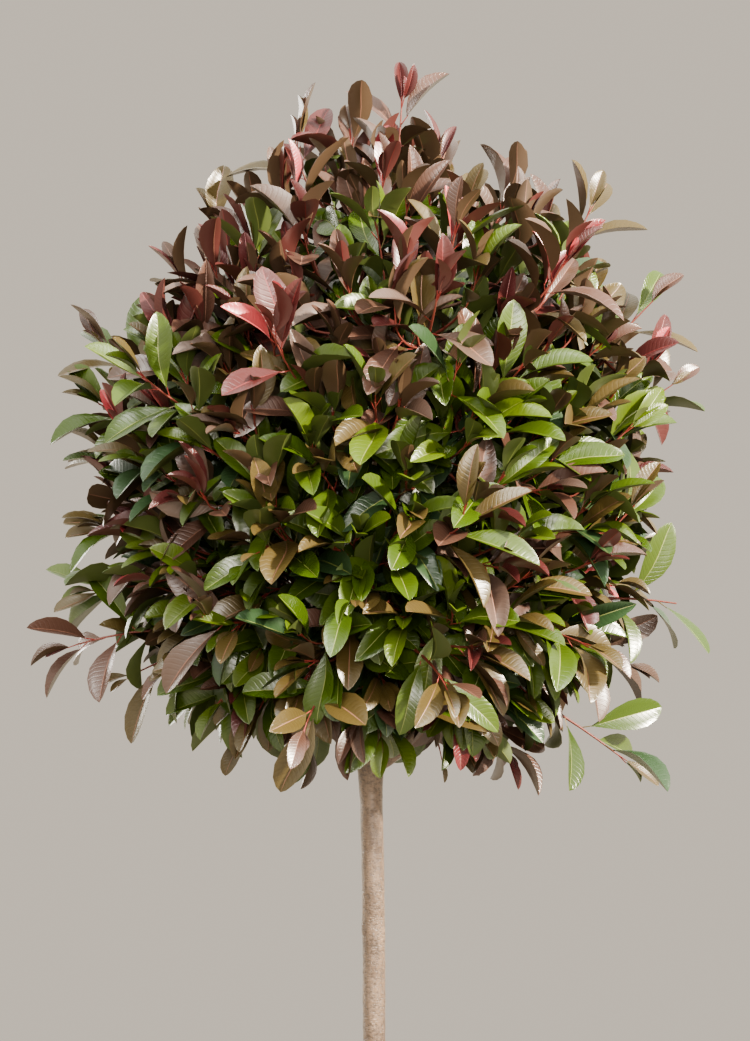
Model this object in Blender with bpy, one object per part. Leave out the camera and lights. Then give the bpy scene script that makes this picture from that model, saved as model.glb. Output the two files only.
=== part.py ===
"""A potted photinia grown as a small standard tree, in metres with +Z up.

The pot's underside is centred on the origin. A turned terracotta pot holds a plug of compost, one clear
stem rises from it to a fork, ten boughs leave the fork, and each bough carries one mass of foliage. The
front of the plant faces -Y.
"""

import math
import random

import bmesh
import bpy
from mathutils import Vector
from mathutils.bvhtree import BVHTree

# The pot and its compost
POT_HEIGHT = 0.38
POT_BASE_RADIUS = 0.155
POT_TOP_RADIUS = 0.212
POT_WALL = 0.014
RIM_HEIGHT = 0.062
RIM_PROUD = 0.009
RIM_ROUND = 0.005
DRAIN_HOLES = 3
DRAIN_RADIUS = 0.009
DRAIN_RING_RADIUS = 0.075
DRAIN_SIDES = 12
POT_SIDES = 36
COMPOST_BELOW_RIM = 0.032

TERRACOTTA_COLOUR = (0.52, 0.22, 0.12)
COMPOST_COLOUR = (0.045, 0.028, 0.018)

# The space left between two solids that touch on the real plant
TOUCH_GAP = 0.0003

# The trunk: where its middle line runs, and how thick it is, from the compost to its top
TRUNK_TOP = 1.40
FORK_HEIGHT = 1.31
TRUNK_SIDES = 12
TRUNK_RINGS = 22
STEM_RADIUS = 0.0170
FLARE_RADIUS = 0.034
FLARE_HEIGHT = 0.05
FORK_SWELL = 0.005
FORK_SWELL_HEIGHT = 0.05
TRUNK_TOP_RADIUS = 0.0135
TRUNK_FOOT_X = 0.009
TRUNK_MIDDLE_X = 0.006
TRUNK_FORK_X = -0.004
TRUNK_SWAY = 0.006
BARK_COLOUR = (0.23, 0.17, 0.13)

# The crown is an egg with a flattened underside, and leans a little to the right towards its top
CROWN_CENTRE = Vector((0.006, 0.0, 1.74))
CROWN_HALF_WIDTH = 0.44
CROWN_RISE = 0.55
CROWN_DROP = 0.48
UPPER_ROUNDNESS = 1.7
LOWER_ROUNDNESS = 2.5
CROWN_LEAN = 0.04
CROWN_FOOT = 1.238

# A mass's core: how far out it reaches, and its clearances from the limbs, the bough's end and its space
CORE_SHARE = 0.66
CORE_STEP = 0.005
CORE_LIMB_GAP = 0.020
CORE_BOUGH_GAP = 0.012
CORE_SPACE_GAP = 0.010
CORE_ROUGHNESS = 0.14

# The masses of foliage: two rings and a top one, by height, distance from the trunk and first bearing
LOWER_RING = {"count": 5, "radius": 0.19, "height": 1.555, "bearing": 54.0}
UPPER_RING = {"count": 4, "radius": 0.19, "height": 1.875, "bearing": 20.0}
RING_UNEVENNESS = 0.03
TOP_HEART_HEIGHT = 2.06

# The boughs: the share of the way to a mass's heart at which each one ends, and its thickness
BOUGH_SIDES = 7
BOUGH_RINGS = 6
LOWER_BOUGH_RADIUS = 0.0095
UPPER_BOUGH_RADIUS = 0.0085
LEADER_RADIUS = 0.0115
BOUGH_TAPER = 0.62
LOWER_FOOT_DROP = 0.035
LOWER_FOOT_STAGGER = 0.013
LOWER_HANDLE_OUT = 0.062
LOWER_HANDLE_UP = 0.020
LOWER_END_DROP = 0.018
UPPER_FOOT_RISE = 0.020
UPPER_FOOT_STAGGER = 0.005
UPPER_HANDLE_OUT = 0.078
UPPER_HANDLE_UP = 0.115
UPPER_END_BACK = 0.016
LEADER_BEND = Vector((-0.012, 0.010, 0.0))
LOWER_BOUGH_REACH = 0.58
UPPER_BOUGH_REACH = 0.56
LEADER_REACH = 0.80

# The shoots: an even spread of tips, some of them long, with the lowest ones round the trunk left out
SHOOTS = 96
LOWEST_RISE = -0.94
LONG_SHOOT_EVERY = 5
LONG_SHOOT_DEPTH = 0.22
SHORT_REACH = 0.93
USUAL_REACH = 1.02
LONG_REACH = 1.13
SHOOT_SPACING = 0.115
SHOOT_LIFT = 0.25
SHOOT_LIFT_AT_TOP = 0.45

# The leaves, fewer and larger than life, and the twigs that they stand on
LEAVES_ON_SHOOT = 6
LEAF_LENGTH = 0.15
LEAF_COLOUR = (0.10, 0.16, 0.05)
LEAF_WIDTH_SHARE = 0.44
LEAF_THICKNESS_SHARE = 0.03
LEAF_FOLD_SHARE = 0.10
LEAF_WIDEST_AT = 0.52
LEAF_ARCH_SHARE = 0.06
LEAF_FIRST_OPENING = math.radians(22.0)
LEAF_MORE_OPENING = math.radians(9.0)
LEAF_SAG = 0.25
LEAF_SIZE_SPREAD = (0.88, 1.10)
LEAF_OPENING_SPREAD = 0.09
LEAF_TURNS = (0.0, 0.5, -0.5, 1.0, -1.0, 1.6, -1.6, 2.3, -2.3, 3.0)
LEAF_SHORTENED_BY_TURN = 0.06
LEAF_STEP = 0.017
SHOOT_LENGTH = 0.135
LEAF_TIP_SHARE = 0.82
LEAF_OVERRUN = 0.04
TWIG_SIDES = 3
TWIG_RINGS = 4
TWIG_LOWEST_START = 0.30
TWIG_HIGHEST_START = 0.94
TWIG_LAST_START = 0.97
TWIG_SLANT = 0.7
TWIG_SWINGS = (0.5, 0.3, 0.1)
TWIG_RADIUS = 0.0042
TWIG_TIP_RADIUS = 0.0028
STEM_TIP_RADIUS = 0.0050
LIMB_CLEARANCE = 0.004
SPACE_MARGIN = 0.0015
GOLDEN_ANGLE = math.pi * (3.0 - math.sqrt(5.0))
UP = Vector((0.0, 0.0, 1.0))

# The furthest tips of the crown's outline from the front, clockwise from the top, each as x and z, lying
# by turns a little before and behind the middle plane
FAR_TIP_DEPTH = 0.03
FAR_TIPS = (
    (0.050, 2.332),
    (0.112, 2.252),
    (0.225, 2.198),
    (0.358, 2.172),
    (0.455, 2.015),
    (0.502, 1.882),
    (0.440, 1.720),
    (0.458, 1.610),
    (0.526, 1.512),
    (0.440, 1.405),
    (0.425, 1.255),
    (0.240, 1.250),
    (0.125, 1.240),
    (-0.108, 1.248),
    (-0.232, 1.290),
    (-0.415, 1.385),
    (-0.502, 1.443),
    (-0.474, 1.532),
    (-0.455, 1.640),
    (-0.458, 1.760),
    (-0.450, 1.850),
    (-0.445, 1.952),
    (-0.310, 2.060),
    (-0.258, 2.160),
    (-0.118, 2.268),
)


def clear_scene():
    for item in list(bpy.data.objects):
        bpy.data.objects.remove(item, do_unlink=True)


def principled(name, colour, roughness, metallic=0.0):
    material = bpy.data.materials.new(name)
    material.use_nodes = True
    shader = material.node_tree.nodes["Principled BSDF"]
    shader.inputs["Base Color"].default_value = (*colour, 1.0)
    shader.inputs["Roughness"].default_value = roughness
    shader.inputs["Metallic"].default_value = metallic
    return material


def add_object(name, points, faces, material=None, collection=None):
    mesh = bpy.data.meshes.new(name)
    mesh.from_pydata([tuple(point) for point in points], [], faces)
    mesh.update()
    item = bpy.data.objects.new(name, mesh)
    if material is not None:
        mesh.materials.append(material)
    (collection or bpy.context.scene.collection).objects.link(item)
    return item


def make_cutter(name, shape):
    cutter = add_object(name, *shape)
    cutter.hide_render = True
    cutter.display_type = "WIRE"
    return cutter


def shade_round(item, angle=40.0):
    item.data.shade_smooth()
    item.data.set_sharp_from_angle(angle=math.radians(angle))


def turned(name, profile, sides, material):
    """Turn a closed profile of (radius, height) points, listed counterclockwise, about the Z axis.

    A point on the axis becomes one vertex, so a profile may start and end there.
    """
    points = []
    rings = []
    for radius, height in profile:
        first = len(points)
        if radius == 0.0:
            points.append((0.0, 0.0, height))
            rings.append([first] * sides)
            continue
        for side in range(sides):
            angle = 2.0 * math.pi * side / sides
            points.append((radius * math.cos(angle), radius * math.sin(angle), height))
        rings.append(list(range(first, first + sides)))
    faces = []
    for ring, following in zip(rings, rings[1:] + rings[:1]):
        for side in range(sides):
            after = (side + 1) % sides
            corners = [ring[side], ring[after], following[after], following[side]]
            corners = list(dict.fromkeys(corners))
            if len(corners) > 2:
                faces.append(corners)
    item = add_object(name, points, faces, material)
    shade_round(item)
    return item


def tube_shape(path, radii, sides, turn=0.0):
    """Points and faces of a closed round limb along a path, with a flat face at each end."""
    points = []
    across = None
    for index, centre in enumerate(path):
        before = path[max(index - 1, 0)]
        after = path[min(index + 1, len(path) - 1)]
        heading = (after - before).normalized()
        if across is None:
            across = heading.orthogonal().normalized()
        across = (across - heading * across.dot(heading)).normalized()
        sideways = heading.cross(across)
        for side in range(sides):
            angle = turn + 2.0 * math.pi * side / sides
            offset = across * math.cos(angle) + sideways * math.sin(angle)
            points.append(centre + offset * radii[index])
    faces = [list(reversed(range(sides)))]
    for ring in range(len(path) - 1):
        low = ring * sides
        high = low + sides
        for side in range(sides):
            after = (side + 1) % sides
            faces.append([low + side, low + after, high + after, high + side])
    last = (len(path) - 1) * sides
    faces.append([last + side for side in range(sides)])
    return points, faces


def bend(start, handle, end, steps):
    """Points along a curve that leaves the start towards the handle and then turns to the end."""
    path = []
    for step in range(steps):
        t = step / (steps - 1)
        path.append(start * (1 - t) ** 2 + handle * 2 * t * (1 - t) + end * t**2)
    return path


def blend(low, high, share):
    return low + (high - low) * share


# The pot: a thick rim band, a straight tapering wall and three drain holes in its floor


def make_pot(material):
    rim_foot = POT_HEIGHT - RIM_HEIGHT
    wall_top = POT_TOP_RADIUS - RIM_PROUD
    lean = (wall_top - POT_BASE_RADIUS) / POT_HEIGHT
    floor_inner = POT_BASE_RADIUS - POT_WALL + lean * POT_WALL
    profile = [
        (0.0, 0.0),
        (POT_BASE_RADIUS - RIM_ROUND, 0.0),
        (POT_BASE_RADIUS, RIM_ROUND),
        (POT_BASE_RADIUS + lean * rim_foot, rim_foot),
        (POT_TOP_RADIUS - RIM_ROUND * 0.6, rim_foot + RIM_ROUND * 0.4),
        (POT_TOP_RADIUS, rim_foot + RIM_ROUND * 1.4),
        (POT_TOP_RADIUS + RIM_ROUND * 0.5, POT_HEIGHT - RIM_ROUND),
        (POT_TOP_RADIUS - RIM_ROUND * 0.5, POT_HEIGHT),
        (wall_top - POT_WALL + RIM_ROUND, POT_HEIGHT),
        (wall_top - POT_WALL, POT_HEIGHT - RIM_ROUND),
        (floor_inner, POT_WALL),
        (0.0, POT_WALL),
    ]
    pot = turned("pot", profile, POT_SIDES, material)
    for number in range(DRAIN_HOLES):
        angle = 2.0 * math.pi * (number + 0.25) / DRAIN_HOLES
        x = DRAIN_RING_RADIUS * math.cos(angle)
        y = DRAIN_RING_RADIUS * math.sin(angle)
        path = [Vector((x, y, -POT_WALL)), Vector((x, y, POT_WALL * 2.0))]
        drill = make_cutter("drain_cutter", tube_shape(path, [DRAIN_RADIUS] * 2, DRAIN_SIDES))
        cut = pot.modifiers.new("Drain hole", "BOOLEAN")
        cut.operation = "DIFFERENCE"
        cut.object = drill
    return pot


def make_compost(material):
    """A plug that fills the pot from its floor to just under the rim."""
    wall_top = POT_TOP_RADIUS - RIM_PROUD
    lean = (wall_top - POT_BASE_RADIUS) / POT_HEIGHT
    foot = POT_WALL + TOUCH_GAP
    surface = POT_HEIGHT - COMPOST_BELOW_RIM

    def inner_radius(height):
        return POT_BASE_RADIUS - POT_WALL + lean * height - TOUCH_GAP * 1.5

    profile = [
        (0.0, foot),
        (inner_radius(foot), foot),
        (inner_radius(surface), surface),
        (0.0, surface),
    ]
    return turned("soil", profile, POT_SIDES, material)


# The trunk: nearly upright, flared at the compost and swollen at the fork


def trunk_centre(height):
    foot = POT_HEIGHT - COMPOST_BELOW_RIM
    share = (height - foot) / (TRUNK_TOP - foot)
    if share < 0.55:
        x = blend(TRUNK_FOOT_X, TRUNK_MIDDLE_X, share / 0.55)
    else:
        x = blend(TRUNK_MIDDLE_X, TRUNK_FORK_X, ((share - 0.55) / 0.45) ** 2)
    return Vector((x, TRUNK_SWAY * math.sin(math.pi * 2.0 * share), height))


def trunk_radius(height):
    foot = POT_HEIGHT - COMPOST_BELOW_RIM
    flare = (FLARE_RADIUS - STEM_RADIUS) * math.exp(-(height - foot) / FLARE_HEIGHT)
    swell = FORK_SWELL * math.exp(-(((height - FORK_HEIGHT) / FORK_SWELL_HEIGHT) ** 2))
    narrowing = 0.0
    if height > FORK_HEIGHT:
        share = (height - FORK_HEIGHT) / (TRUNK_TOP - FORK_HEIGHT)
        narrowing = (STEM_RADIUS - TRUNK_TOP_RADIUS) * share
    return STEM_RADIUS + flare + swell - narrowing


def trunk_shape(extra=0.0):
    """The trunk's points and faces, fattened by the extra where it serves to cut a bough's foot."""
    foot = POT_HEIGHT - COMPOST_BELOW_RIM + TOUCH_GAP
    path = []
    radii = []
    for ring in range(TRUNK_RINGS):
        share = (ring / (TRUNK_RINGS - 1)) ** 1.25
        height = blend(foot, TRUNK_TOP, share)
        centre = trunk_centre(height)
        path.append(centre)
        radii.append(trunk_radius(height) + extra)
    return tube_shape(path, radii, TRUNK_SIDES)


def make_trunk(material):
    points, faces = trunk_shape()
    foot = POT_HEIGHT - COMPOST_BELOW_RIM + TOUCH_GAP
    for index in range(TRUNK_SIDES):
        points[index].z = foot
        points[-1 - index].z = TRUNK_TOP
    trunk = add_object("trunk", points, faces, material)
    shade_round(trunk)
    return trunk


# The plan of the crown: what is inside it, and which mass each place belongs to


def reach_share(point):
    """How far out a point lies: 0 at the crown's centre and 1 on its egg-shaped body."""
    offset = point - CROWN_CENTRE
    offset.x -= CROWN_LEAN * max(offset.z, 0.0) / CROWN_RISE
    across = math.hypot(offset.x, offset.y) / CROWN_HALF_WIDTH
    if offset.z > 0.0:
        power = UPPER_ROUNDNESS
        along = offset.z / CROWN_RISE
    else:
        power = LOWER_ROUNDNESS
        along = -offset.z / CROWN_DROP
    return (across**power + along**power) ** (1.0 / power)


def on_body(direction):
    return CROWN_CENTRE + direction / reach_share(CROWN_CENTRE + direction)


def plan_masses():
    """One record for each mass: its name, heart, bough path and bough thickness."""
    masses = []
    for ring_name, ring in (("lower", LOWER_RING), ("upper", UPPER_RING)):
        for number in range(ring["count"]):
            bearing = math.radians(ring["bearing"] + 360.0 * number / ring["count"])
            outward = Vector((math.cos(bearing), math.sin(bearing), 0.0))
            heart = CROWN_CENTRE + outward * ring["radius"]
            heart.z = ring["height"] + RING_UNEVENNESS * math.cos(2.4 * number)
            masses.append({"ring": ring_name, "number": number + 1, "outward": outward, "heart": heart})
    top_heart = Vector((CROWN_CENTRE.x + 0.012, CROWN_CENTRE.y, TOP_HEART_HEIGHT))
    masses.append({"ring": "top", "number": 1, "outward": UP, "heart": top_heart})
    for mass in masses:
        mass["path"], mass["radius"] = bough_path(mass)
    return masses


def bough_path(mass):
    """A bough leaves the trunk's middle line, turns towards its mass and ends where it enters it."""
    heart = mass["heart"]
    outward = mass["outward"]
    if mass["ring"] == "top":
        start = Vector(trunk_centre(TRUNK_TOP))
        start.z += TOUCH_GAP
        end = start.lerp(heart, LEADER_REACH)
        handle = start.lerp(end, 0.5) + LEADER_BEND
        return bend(start, handle, end, BOUGH_RINGS), LEADER_RADIUS
    # The feet of a ring's boughs climb the trunk in a staggered order, so that no two crowd each other.
    stagger = (mass["number"] * 2) % 5
    if mass["ring"] == "lower":
        start = trunk_centre(FORK_HEIGHT - LOWER_FOOT_DROP + LOWER_FOOT_STAGGER * stagger)
        end = start.lerp(heart, LOWER_BOUGH_REACH) - UP * LOWER_END_DROP
        handle = start + outward * LOWER_HANDLE_OUT + UP * LOWER_HANDLE_UP
        return bend(start, handle, end, BOUGH_RINGS), LOWER_BOUGH_RADIUS
    start = trunk_centre(FORK_HEIGHT + UPPER_FOOT_RISE + UPPER_FOOT_STAGGER * stagger)
    end = start.lerp(heart, UPPER_BOUGH_REACH) - outward * UPPER_END_BACK
    handle = start + outward * UPPER_HANDLE_OUT + UP * UPPER_HANDLE_UP
    return bend(start, handle, end, BOUGH_RINGS), UPPER_BOUGH_RADIUS


def bough_name(mass):
    if mass["ring"] == "top":
        return "bough_leader"
    return f"bough_{mass['ring']}_{mass['number']}"


def mass_name(mass):
    if mass["ring"] == "top":
        return "foliage_top"
    return f"foliage_{mass['ring']}_{mass['number']}"


def make_bough(mass, cutter):
    path = mass["path"]
    radii = []
    for ring in range(len(path)):
        share = ring / (len(path) - 1)
        radii.append(mass["radius"] * (1.0 - (1.0 - BOUGH_TAPER) * share))
    points, faces = tube_shape(path, radii, BOUGH_SIDES, turn=0.3)
    if mass["ring"] == "top":
        for point in points[:BOUGH_SIDES]:
            point.z = TRUNK_TOP + TOUCH_GAP
    material = principled(f"{bough_name(mass)}_bark", BARK_COLOUR, 0.8)
    bough = add_object(bough_name(mass), points, faces, material)
    shade_round(bough, 60.0)
    if mass["ring"] != "top":
        cut = bough.modifiers.new("Trunk", "BOOLEAN")
        cut.operation = "DIFFERENCE"
        cut.object = cutter
    return bough


def in_space(point, mass, masses, margin):
    """Whether a point belongs to a mass: nearer its heart than any other, by a margin."""
    for other in masses:
        if other is mass:
            continue
        between = other["heart"] - mass["heart"]
        middle = (other["heart"] + mass["heart"]) / 2.0
        if (point - middle).dot(between) / between.length > -margin:
            return False
    return True


def plan_shoots():
    """The tips that the foliage reaches: the outline's furthest ones, then an even seeded spread."""
    chance = random.Random(41)
    tips = []
    for number, (x, z) in enumerate(FAR_TIPS):
        depth = FAR_TIP_DEPTH if number % 2 else -FAR_TIP_DEPTH
        tips.append(Vector((x, depth, z)))
    for number in range(SHOOTS):
        rise = 1.0 - 2.0 * (number + 0.5) / SHOOTS
        angle = number * GOLDEN_ANGLE
        level = math.sqrt(1.0 - rise * rise)
        body = on_body(Vector((level * math.cos(angle), level * math.sin(angle), rise)))
        reach = chance.uniform(SHORT_REACH, USUAL_REACH)
        if number % LONG_SHOOT_EVERY == 3 and abs(body.y) > LONG_SHOOT_DEPTH:
            reach = LONG_REACH
        tip = CROWN_CENTRE + (body - CROWN_CENTRE) * reach
        if rise < LOWEST_RISE:
            continue
        if all((tip - other).length > SHOOT_SPACING for other in tips):
            tips.append(tip)
    return tips


def shoot_heading(tip, mass, masses):
    """Shoots point outward, more and more upright towards the crown's top.

    Near the edge of its mass's space a shoot turns to point away from the mass's heart instead.
    """
    outward = (tip - CROWN_CENTRE).normalized()
    height = (tip.z - CROWN_CENTRE.z) / CROWN_RISE
    lift = SHOOT_LIFT + SHOOT_LIFT_AT_TOP * max(height, 0.0)
    usual = (outward + UP * lift).normalized()
    from_heart = (tip - mass["heart"]).normalized()
    for share in (0.0, 0.35, 0.7):
        heading = usual.lerp(from_heart, share).normalized()
        if in_space(tip - heading * SHOOT_LENGTH, mass, masses, TWIG_RADIUS + SPACE_MARGIN):
            return heading
    return from_heart


# Growing a mass: a core, one stem, twigs off the stem and leaves off the twigs


def leaf_shape(root, heading, face_up, length):
    """A leaf of eight triangles: a pointed outline folded up along its midrib."""
    face_up = (face_up - heading * face_up.dot(heading)).normalized()
    side = heading.cross(face_up)
    half_width = length * LEAF_WIDTH_SHARE / 2.0
    half_thickness = length * LEAF_THICKNESS_SHARE / 2.0
    fold = length * LEAF_FOLD_SHARE
    middle = root + heading * (length * LEAF_WIDEST_AT)
    tip = root + heading * length - face_up * (length * LEAF_ARCH_SHARE)
    points = [
        root,
        middle + side * half_width + face_up * fold,
        tip,
        middle - side * half_width + face_up * fold,
        middle + face_up * half_thickness,
        middle - face_up * half_thickness,
    ]
    faces = [
        (0, 4, 1), (1, 4, 2), (2, 4, 3), (3, 4, 0),
        (1, 5, 0), (2, 5, 1), (3, 5, 2), (0, 5, 3),
    ]
    return points, faces


def tree_of(shape):
    points, faces = shape
    return BVHTree.FromPolygons(points, faces)


def clear_of_limbs(points, shape, limbs):
    for point in points:
        if limbs.find_nearest(point)[3] < LIMB_CLEARANCE:
            return False
    return not tree_of(shape).overlap(limbs)


def core_shape(mass, masses, limbs, chance):
    """A rough lump round the heart that keeps inside the mass's space and clear of every limb."""
    ball = bmesh.new()
    bmesh.ops.create_icosphere(ball, subdivisions=2, radius=1.0)
    directions = [vertex.co.copy() for vertex in ball.verts]
    faces = [tuple(vertex.index for vertex in face.verts) for face in ball.faces]
    ball.free()
    bough_end = mass["path"][-1]
    bough_heading = (mass["heart"] - bough_end).normalized()
    points = []
    for direction in directions:
        distance = CORE_STEP
        fits = True
        while fits:
            distance += CORE_STEP
            point = mass["heart"] + direction * distance
            inside = reach_share(point) < CORE_SHARE
            ahead = (point - bough_end).dot(bough_heading) > CORE_BOUGH_GAP
            at_home = in_space(point, mass, masses, CORE_SPACE_GAP)
            fits = inside and ahead and at_home and limbs.find_nearest(point)[3] > CORE_LIMB_GAP
        distance *= 1.0 - CORE_ROUGHNESS * chance.random()
        points.append(mass["heart"] + direction * distance)
    while tree_of((points, faces)).overlap(limbs):
        points = [mass["heart"].lerp(point, 0.95) for point in points]
    return points, faces


def twig_path(mass, masses, end, heading):
    """A twig leaves the mass's stem on the side of its tip and swings round to its own heading.

    It starts further along the stem, and then runs straighter, until it keeps to the mass's space.
    """
    stem_start = mass["path"][-1]
    stem = mass["heart"] - stem_start
    along = (end - stem_start).dot(stem.normalized())
    away = ((end - stem_start) - stem.normalized() * along).length
    share = (along - TWIG_SLANT * away) / stem.length
    first_share = max(TWIG_LOWEST_START, min(TWIG_HIGHEST_START, share))
    for swing in TWIG_SWINGS:
        for share in (first_share, blend(first_share, 1.0, 0.5), TWIG_LAST_START):
            start = stem_start + stem * share
            handle = end - heading * ((end - start).length * swing)
            path = bend(start, handle, end, TWIG_RINGS)
            if all(in_space(point, mass, masses, TWIG_RADIUS + SPACE_MARGIN) for point in path):
                return path
    return None


def grow_leaves(twig, tip, heading, mass, masses, limbs, chance, grown):
    """Leaves climb a twig in a spiral.

    One that would lie inside the crown, pass the shoot's tip, stray or touch another is turned and
    shortened, or else skipped.
    """
    furthest = reach_share(tip) + LEAF_OVERRUN
    end = twig[-1]
    inward = (twig[-2] - end).normalized()
    around = heading.orthogonal().normalized()
    sideways = heading.cross(around)
    first_angle = chance.uniform(0.0, 2.0 * math.pi)
    low_place = max(0.0, min(1.0, (CROWN_CENTRE.z - end.z) / CROWN_DROP))
    leaves = []
    for number in range(LEAVES_ON_SHOOT):
        root = end + inward * (TWIG_TIP_RADIUS + LEAF_STEP * number)
        opening = LEAF_FIRST_OPENING + LEAF_MORE_OPENING * number
        opening += chance.uniform(-LEAF_OPENING_SPREAD, LEAF_OPENING_SPREAD)
        size = LEAF_LENGTH * chance.uniform(*LEAF_SIZE_SPREAD)
        for turn in LEAF_TURNS:
            angle = first_angle + number * GOLDEN_ANGLE + turn
            outward = around * math.cos(angle) + sideways * math.sin(angle)
            pointing = heading * math.cos(opening) + outward * math.sin(opening)
            pointing = (pointing - UP * (LEAF_SAG * low_place)).normalized()
            sunk_root = root - pointing * (TWIG_TIP_RADIUS * 0.7)
            length = size * (1.0 - LEAF_SHORTENED_BY_TURN * abs(turn))
            points, faces = leaf_shape(sunk_root, pointing, heading, length)
            if not LEAF_TIP_SHARE < reach_share(points[2]) < furthest or points[2].z < CROWN_FOOT:
                continue
            if not all(in_space(point, mass, masses, SPACE_MARGIN) for point in points):
                continue
            if not clear_of_limbs(points, (points, faces), limbs):
                continue
            # Leaves may meet at their roots, so the test takes each one from a little way along.
            raised = [root.lerp(point, 0.94) + pointing * (TWIG_RADIUS * 2.0) for point in points]
            tree = tree_of((raised, faces))
            if any(tree.overlap(other) for other in grown):
                continue
            grown.append(tree)
            leaves.append((points, faces))
            break
    return leaves


def fuse(name, shapes, material):
    """Join the shapes of a mass by one union, and keep its one outer body.

    Where the union leaves an edge open, the leaf nearest to it is left out and the union made again.
    """
    target = add_object(name, *shapes[0], material)
    helpers = bpy.data.collections.new(f"{name}_pieces")
    bpy.context.scene.collection.children.link(helpers)
    for shape in shapes[1:]:
        add_object("piece", *shape, None, helpers)
    union = target.modifiers.new("Union", "BOOLEAN")
    union.operation = "UNION"
    union.operand_type = "COLLECTION"
    union.collection = helpers
    union.solver = "EXACT"
    while True:
        graph = bpy.context.evaluated_depsgraph_get()
        joined = bpy.data.meshes.new_from_object(target.evaluated_get(graph))
        flaw = first_flaw(joined)
        if flaw is None:
            break
        nearest = min(helpers.objects, key=lambda piece: (middle_of(piece.data) - flaw).length)
        bpy.data.objects.remove(nearest, do_unlink=True)
    target.modifiers.clear()
    target.data = joined
    for helper in list(helpers.objects):
        bpy.data.objects.remove(helper, do_unlink=True)
    bpy.data.collections.remove(helpers)
    keep_outer_body(joined)
    joined.materials.clear()
    joined.materials.append(material)
    return target


def first_flaw(mesh):
    """The middle of the first edge that doesn't join two faces, or None on a closed surface."""
    body = bmesh.new()
    body.from_mesh(mesh)
    flaws = [(edge.verts[0].co + edge.verts[1].co) / 2.0 for edge in body.edges if not edge.is_manifold]
    body.free()
    return flaws[0] if flaws else None


def middle_of(mesh):
    total = Vector()
    for vertex in mesh.vertices:
        total += vertex.co
    return total / len(mesh.vertices)


def volume_inside(faces):
    total = 0.0
    for face in faces:
        corners = [vertex.co for vertex in face.verts]
        for first, second in zip(corners[1:], corners[2:]):
            total += corners[0].dot(first.cross(second)) / 6.0
    return total


def keep_outer_body(mesh):
    """Fill sealed hollows and drop loose scraps: only the body of greatest volume stays."""
    body = bmesh.new()
    body.from_mesh(mesh)
    unvisited = set(body.faces)
    islands = []
    while unvisited:
        island = {unvisited.pop()}
        frontier = list(island)
        while frontier:
            face = frontier.pop()
            for edge in face.edges:
                for neighbour in edge.link_faces:
                    if neighbour in unvisited:
                        unvisited.remove(neighbour)
                        island.add(neighbour)
                        frontier.append(neighbour)
        islands.append(island)
    largest = max(islands, key=volume_inside)
    scraps = [face for face in body.faces if face not in largest]
    bmesh.ops.delete(body, geom=scraps, context="FACES")
    loose = [vertex for vertex in body.verts if not vertex.link_faces]
    bmesh.ops.delete(body, geom=loose, context="VERTS")
    body.to_mesh(mesh)
    body.free()


def mass_shapes(mass, masses, tips, limbs):
    """The closed shapes that a mass is fused from: its core, its stem, then each twig and its leaves."""
    chance = random.Random(mass_name(mass))
    shapes = [core_shape(mass, masses, limbs, chance)]
    bough_end = mass["path"][-1]
    inward_step = (mass["path"][-1] - mass["path"][-2]).normalized()
    stem_start = bough_end + inward_step * TOUCH_GAP
    stem = [stem_start, stem_start + inward_step * 0.012, mass["heart"]]
    tip_radius = mass["radius"] * BOUGH_TAPER
    shapes.append(tube_shape(stem, [tip_radius, tip_radius, STEM_TIP_RADIUS], BOUGH_SIDES, turn=0.3))
    grown = []
    for tip in tips:
        if not in_space(tip, mass, masses, 0.0):
            continue
        heading = shoot_heading(tip, mass, masses)
        path = twig_path(mass, masses, tip - heading * SHOOT_LENGTH, heading)
        if path is None:
            continue
        radii = []
        for ring in range(TWIG_RINGS):
            radii.append(blend(TWIG_RADIUS, TWIG_TIP_RADIUS, ring / (TWIG_RINGS - 1)))
        twig = tube_shape(path, radii, TWIG_SIDES, turn=chance.uniform(0.0, 2.0))
        if not clear_of_limbs(twig[0], twig, limbs):
            continue
        leaves = grow_leaves(path, tip, heading, mass, masses, limbs, chance, grown)
        if leaves:
            shapes.append(twig)
            shapes.extend(leaves)
    return shapes


def limb_tree(items):
    """One search tree over every limb, before the boughs' feet are cut."""
    points = []
    faces = []
    for item in items:
        first = len(points)
        points.extend(vertex.co.copy() for vertex in item.data.vertices)
        for polygon in item.data.polygons:
            faces.append([first + index for index in polygon.vertices])
    return BVHTree.FromPolygons(points, faces)


def main():
    clear_scene()
    make_pot(principled("terracotta", TERRACOTTA_COLOUR, 0.85))
    make_compost(principled("compost", COMPOST_COLOUR, 0.95))
    trunk = make_trunk(principled("trunk_bark", BARK_COLOUR, 0.8))
    cutter = make_cutter("bough_foot_cutter", trunk_shape(TOUCH_GAP))
    masses = plan_masses()
    boughs = [make_bough(mass, cutter) for mass in masses]
    limbs = limb_tree([trunk, *boughs])
    tips = plan_shoots()
    for mass in masses:
        foliage = principled(f"{mass_name(mass)}_leaves", LEAF_COLOUR, 0.45)
        fuse(mass_name(mass), mass_shapes(mass, masses, tips, limbs), foliage)


main()
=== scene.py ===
import math
import random

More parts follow.
